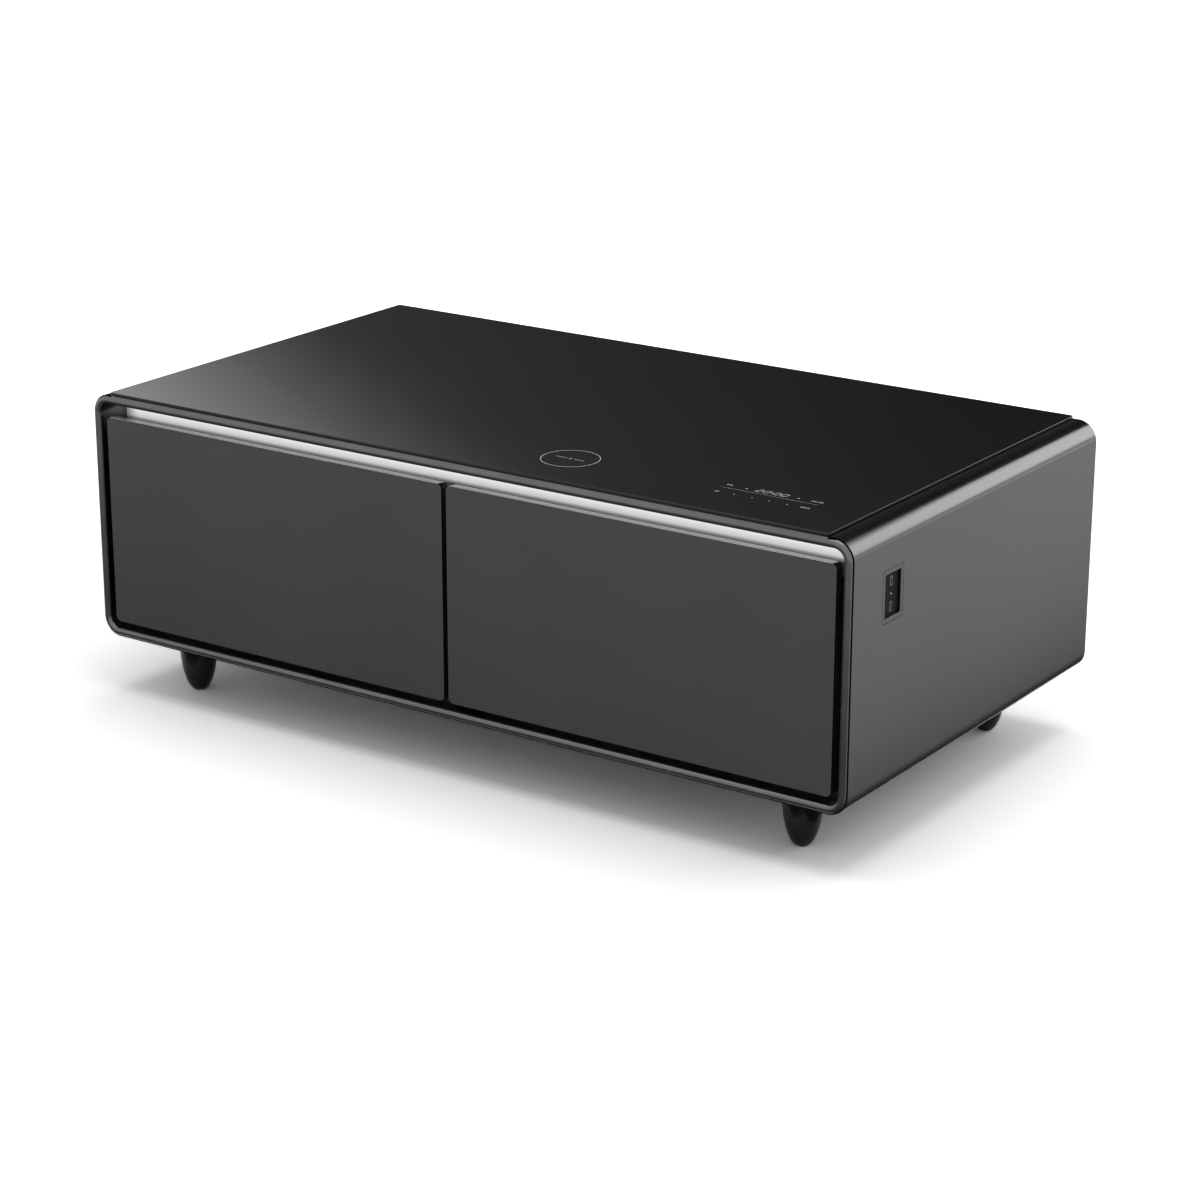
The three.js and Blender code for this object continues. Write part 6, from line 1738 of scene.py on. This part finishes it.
# under the glass: charging coil and control board
charger = {
    "centre": (0.148, -0.252), "flange": 0.046, "flangeZ": (0.4637, 0.4662), "flangeEdge": 0.0004,
    "pot": 0.0387, "top": 0.468, "edge": 0.0003, "eye": 0.012, "rim": 0.0012, "floor": 0.4668,
    "turns": 13, "wire": 0.0019, "wireIn": 0.0002, "wireUp": 0.0001, "wireSunk": 0.0003, "wireSteps": 6,
}


def buildCharger():
    inside, outside, rim, floor, top = (charger[key] for key in ("eye", "pot", "rim", "floor", "top"))
    low, high = charger["flangeZ"]
    wide, soft, edge = charger["flange"], charger["flangeEdge"], charger["edge"]
    section = [(inside, low), (wide - soft, low), (wide, low + soft), (wide, high), (outside, high),
               (outside, top - edge), (outside - edge, top), (outside - rim, top), (outside - rim, floor),
               (inside + rim, floor), (inside + rim, top), (inside, top)]
    fitPiece(turnedRing("chargerCoil", section, charger["centre"], "z", 72), "charger_coil", angle=40)
    # winding: one ridge a turn
    wire, start = charger["wire"] / 2, inside + rim + charger["wireIn"]
    ridge = []
    for turn in range(charger["turns"]):
        for i in range(charger["wireSteps"]):
            angle = pi * (1 - i / charger["wireSteps"])
            across = start + wire + turn * charger["wire"] * 0.99 + wire * cos(angle)
            ridge.append((across, floor + charger["wireUp"] + wire * sin(angle)))
    sunk = floor - charger["wireSunk"]
    section = ridge + [(ridge[-1][0] + 0.0001, sunk), (ridge[0][0], sunk)]
    winding = turnedRing("chargerWinding", section, charger["centre"], "z", 72)
    addPart(winding, "charger_coil", slot="copper", angle=60)


display = {
    "centre": (0.465, -0.252), "board": (0.19, 0.066), "boardZ": (0.4646, 0.4662), "boardCorner": 0.002,
    "boardEdge": 0.00015, "lens": (0.1694, 0.0454), "lensCorner": 0.0037, "lensEdge": 0.0003, "top": 0.468,
    # a part's size, how many there are, their pitch and their row
    "rows": (((0.009, 0.009, 0.0016), 6, 0.022, 0.004), ((0.0016, 0.0008, 0.0006), 20, 0.0068, -0.009)),
    "sunk": 0.0001, "plug": ((0.39, 0.402), (-0.262, -0.242), (0.4604, 0.4647)), "plugEdge": 0.0006,
}


def buildControlBoard():
    (cx, cy), (low, high) = display["centre"], display["boardZ"]
    size, lensSize = ([around(at, size) for at, size in zip((cx, cy), display[key])]
                      for key in ("board", "lens"))
    board = platePiece(
        "controlBoard", *size, display["boardCorner"], (low, high), "z", display["boardEdge"], 4)
    fitPiece(board, "control_board")
    lens = platePiece(
        "displayLens", *lensSize, display["lensCorner"], (high, display["top"]), "z", display["lensEdge"], 6)
    addPart(lens, "control_board", slot="black_plastic")
    parts = []
    for (wide, deep, tall), count, pitch, back in display["rows"]:
        start = cx - (count - 1) * pitch / 2
        part = boxPiece("part", around(start, wide), around(cy + back, deep),
                        (low - tall, low + display["sunk"]))
        parts.append(inRow(part, count, (pitch, 0, 0)))
    parts.append(boxPiece("plug", *display["plug"], edge=display["plugEdge"]))
    addPart(joinPieces("boardParts", parts), "control_board", "chip_black", "black_plastic", angle=40)


buildCharger()
buildControlBoard()
print("parts under the glass built")

# room, light and camera
room = {
    "floorSize": 60.0, "floorShade": 0.9, "floorShown": 1.6,
    # far from the table the floor is shown brighter by this much, rising between two distances
    "farLift": 0.7, "liftFrom": 1.0, "liftTo": 3.2,
    "worldLevel": 0.5, "worldShown": 1.0,
    "softboxes": {  # place, target, size, and how bright the face is, where 1 is white
        "rearSoftbox": ((2.2, 3.6, 1.72), (0, 0, 0.3), (2.3, 2.1), 2.75),
        "overheadSoftbox": ((0.0, 0.0, 3.2), (0, 0, 0), (3.0, 3.0), 1.6)},
}

# cards that only gloss sees: two ends of each, the direction of its fade, and (place, level) along it
cards = {
    # what the glass top mirrors: its left front corner sees the bright end
    "rearCard": (
        (-9, 3.35, -0.2), (1.0, 3.35, 3.9), (-0.4067, 0.0, 0.9135),
        [(1.3, 0.025), (1.67, 0.034), (2.0, 0.053), (2.34, 0.077), (2.55, 0.095), (2.67, 0.123),
         (2.78, 0.197), (2.9, 0.311), (3.0, 0.454), (3.11, 0.615), (3.22, 0.788), (3.33, 0.97), (3.5, 1.15)]),
    # what the top rounding mirrors next to the glass
    "upperCard": (
        (-3.6, 3.34, 2.2), (1.0, 3.34, 4.2), (1.0, 0.0, 0.0),
        [(-3.6, 1.1), (-3.2, 0.75), (-2.8, 0.3), (-2.4, 0.07), (-2.1, 0.02), (1.0, 0.02)]),
    # what the right side mirrors: the floor with a painted shadow of the table, darker close to it
    "sideCard": (
        (0.61, -0.36, 0.002), (4.0, 3.3, 0.002), (1.0, 0.0, 0.0),
        [(0.61, 0.05), (0.64, 0.04), (0.67, 0.08), (0.7, 0.2), (0.76, 0.42), (0.82, 0.58), (0.92, 0.78),
         (1.1, 0.92), (1.4, 1.06), (4.0, 1.1)]),
    # what the ring and the drawer fronts mirror: the same painted shadow of the table, on the floor in front
    "frontCard": (
        (-5, -4.35, 0.002), (2.5, -0.36, 0.002), (0.0, -1.0, 0.0),
        [(0.35, 0.1), (0.65, 0.15), (1.1, 0.3), (1.85, 0.5), (4.35, 0.8)]),
}


def seenShare(tree):
    # 1 for the rays of the camera, of gloss and of clear glass
    path = addNode(tree, "ShaderNodeLightPath").outputs
    seen = calc(tree, "MAXIMUM", path["Is Camera Ray"], path["Is Glossy Ray"])
    return calc(tree, "MAXIMUM", seen, path["Is Transmission Ray"])


def bareMaterial(name):
    material = bpy.data.materials.new(name)
    material.use_nodes = True
    tree = material.node_tree
    tree.nodes.clear()
    return material, tree, addNode(tree, "ShaderNodeTexCoord").outputs["Object"]


def buildFloor():
    half = room["floorSize"] / 2
    floor = meshPiece("floor", [(-half, -half, 0), (half, -half, 0), (half, half, 0), (-half, half, 0)],
                      [(0, 1, 2, 3)])
    if floor.data.polygons[0].normal.z < 0:
        floor.data.flip_normals()
    material, tree, where = bareMaterial("studio_floor")
    seen = seenShare(tree)
    shade = spread(tree, seen, low=room["floorShade"], high=room["floorShown"])
    away = vectorCalc(tree, "LENGTH", where).outputs["Value"]
    far = spread(tree, away, room["liftFrom"], room["liftTo"], 0.0, room["farLift"], "SMOOTHSTEP")
    glow = addNode(tree, "ShaderNodeEmission",
                   {"Color": grey(1.0), "Strength": calc(tree, "MULTIPLY", seen, far)})
    cloth = addNode(tree, "ShaderNodeBsdfDiffuse", {"Color": shade})
    addNode(tree, "ShaderNodeOutputMaterial",
            {"Surface": addNode(tree, "ShaderNodeAddShader", {0: cloth, 1: glow})})
    floor.data.materials.append(material)


def buildWorld():
    world = bpy.data.worlds.new("studio")
    bpy.context.scene.world = world
    world.use_nodes = True
    world.cycles.sampling_method = "NONE"
    tree = world.node_tree
    tree.nodes.clear()
    level = spread(tree, seenShare(tree), low=room["worldLevel"], high=room["worldShown"])
    sky = addNode(tree, "ShaderNodeBackground", {"Color": grey(1.0), "Strength": level})
    addNode(tree, "ShaderNodeOutputWorld", {"Surface": sky})


def buildCard(name, low, high, direction, fade):
    # flat between its two ends, level or upright, as bright as its fade
    if low[2] == high[2]:
        corners = [low, (high[0], low[1], low[2]), high, (low[0], high[1], low[2])]
    else:
        corners = [low, (high[0], low[1], low[2]), high, (low[0], low[1], high[2])]
    card = meshPiece(name, corners, [(0, 1, 2, 3)])
    material, tree, where = bareMaterial(name + "_fade")
    first, last = fade[0][0], fade[-1][0]
    share = spread(tree, vectorCalc(tree, "DOT_PRODUCT", where, direction).outputs["Value"], first, last)
    ramp = addRamp(tree, share, [((at - first) / (last - first), level) for at, level in fade])
    glow = addNode(tree, "ShaderNodeEmission", {"Color": ramp, "Strength": 1.0})
    addNode(tree, "ShaderNodeOutputMaterial", {"Surface": glow})
    card.data.materials.append(material)
    for ray in ("camera", "diffuse", "transmission", "shadow", "volume_scatter"):
        setattr(card, "visible_" + ray, False)


def addSoftbox(name, place, target, size, level):
    lamp = bpy.data.lights.new(name, "AREA")
    lamp.shape = "RECTANGLE"
    lamp.size, lamp.size_y = size
    lamp.energy = level * pi * size[0] * size[1]
    holder = addPiece(name, lamp)
    holder.location = place
    holder.rotation_mode = "QUATERNION"
    holder.rotation_quaternion = (Vector(target) - Vector(place)).to_track_quat("-Z", "Y")
    holder.visible_camera = False


view = {"place": (2.4860, -3.5994, 1.63914), "azimuth": 34.36, "elevation": 18.55, "roll": 0.12,
        "lens": 92.97}


def buildCamera():
    data = bpy.data.cameras.new("camera")
    data.lens = view["lens"]
    data.sensor_width = 36
    data.clip_start, data.clip_end = 0.1, 120
    camera = addPiece("camera", data)
    az, el, roll = (radians(view[key]) for key in ("azimuth", "elevation", "roll"))
    back = Vector((sin(az) * cos(el), -cos(az) * cos(el), sin(el)))
    right = Vector((cos(az), sin(az), 0))
    up = back.cross(right)
    turnedRight = right * cos(roll) + up * sin(roll)
    turnedUp = up * cos(roll) - right * sin(roll)
    turned = Matrix((turnedRight, turnedUp, back)).transposed().to_4x4()
    camera.matrix_world = Matrix.Translation(view["place"]) @ turned
    bpy.context.scene.camera = camera


buildFloor()
buildWorld()
for name, (low, high, direction, fade) in cards.items():
    buildCard(name, low, high, direction, fade)
for name, (place, target, size, level) in room["softboxes"].items():
    addSoftbox(name, place, target, size, level)
buildCamera()
bpy.context.scene.view_settings.view_transform = "Standard"
print("room built")
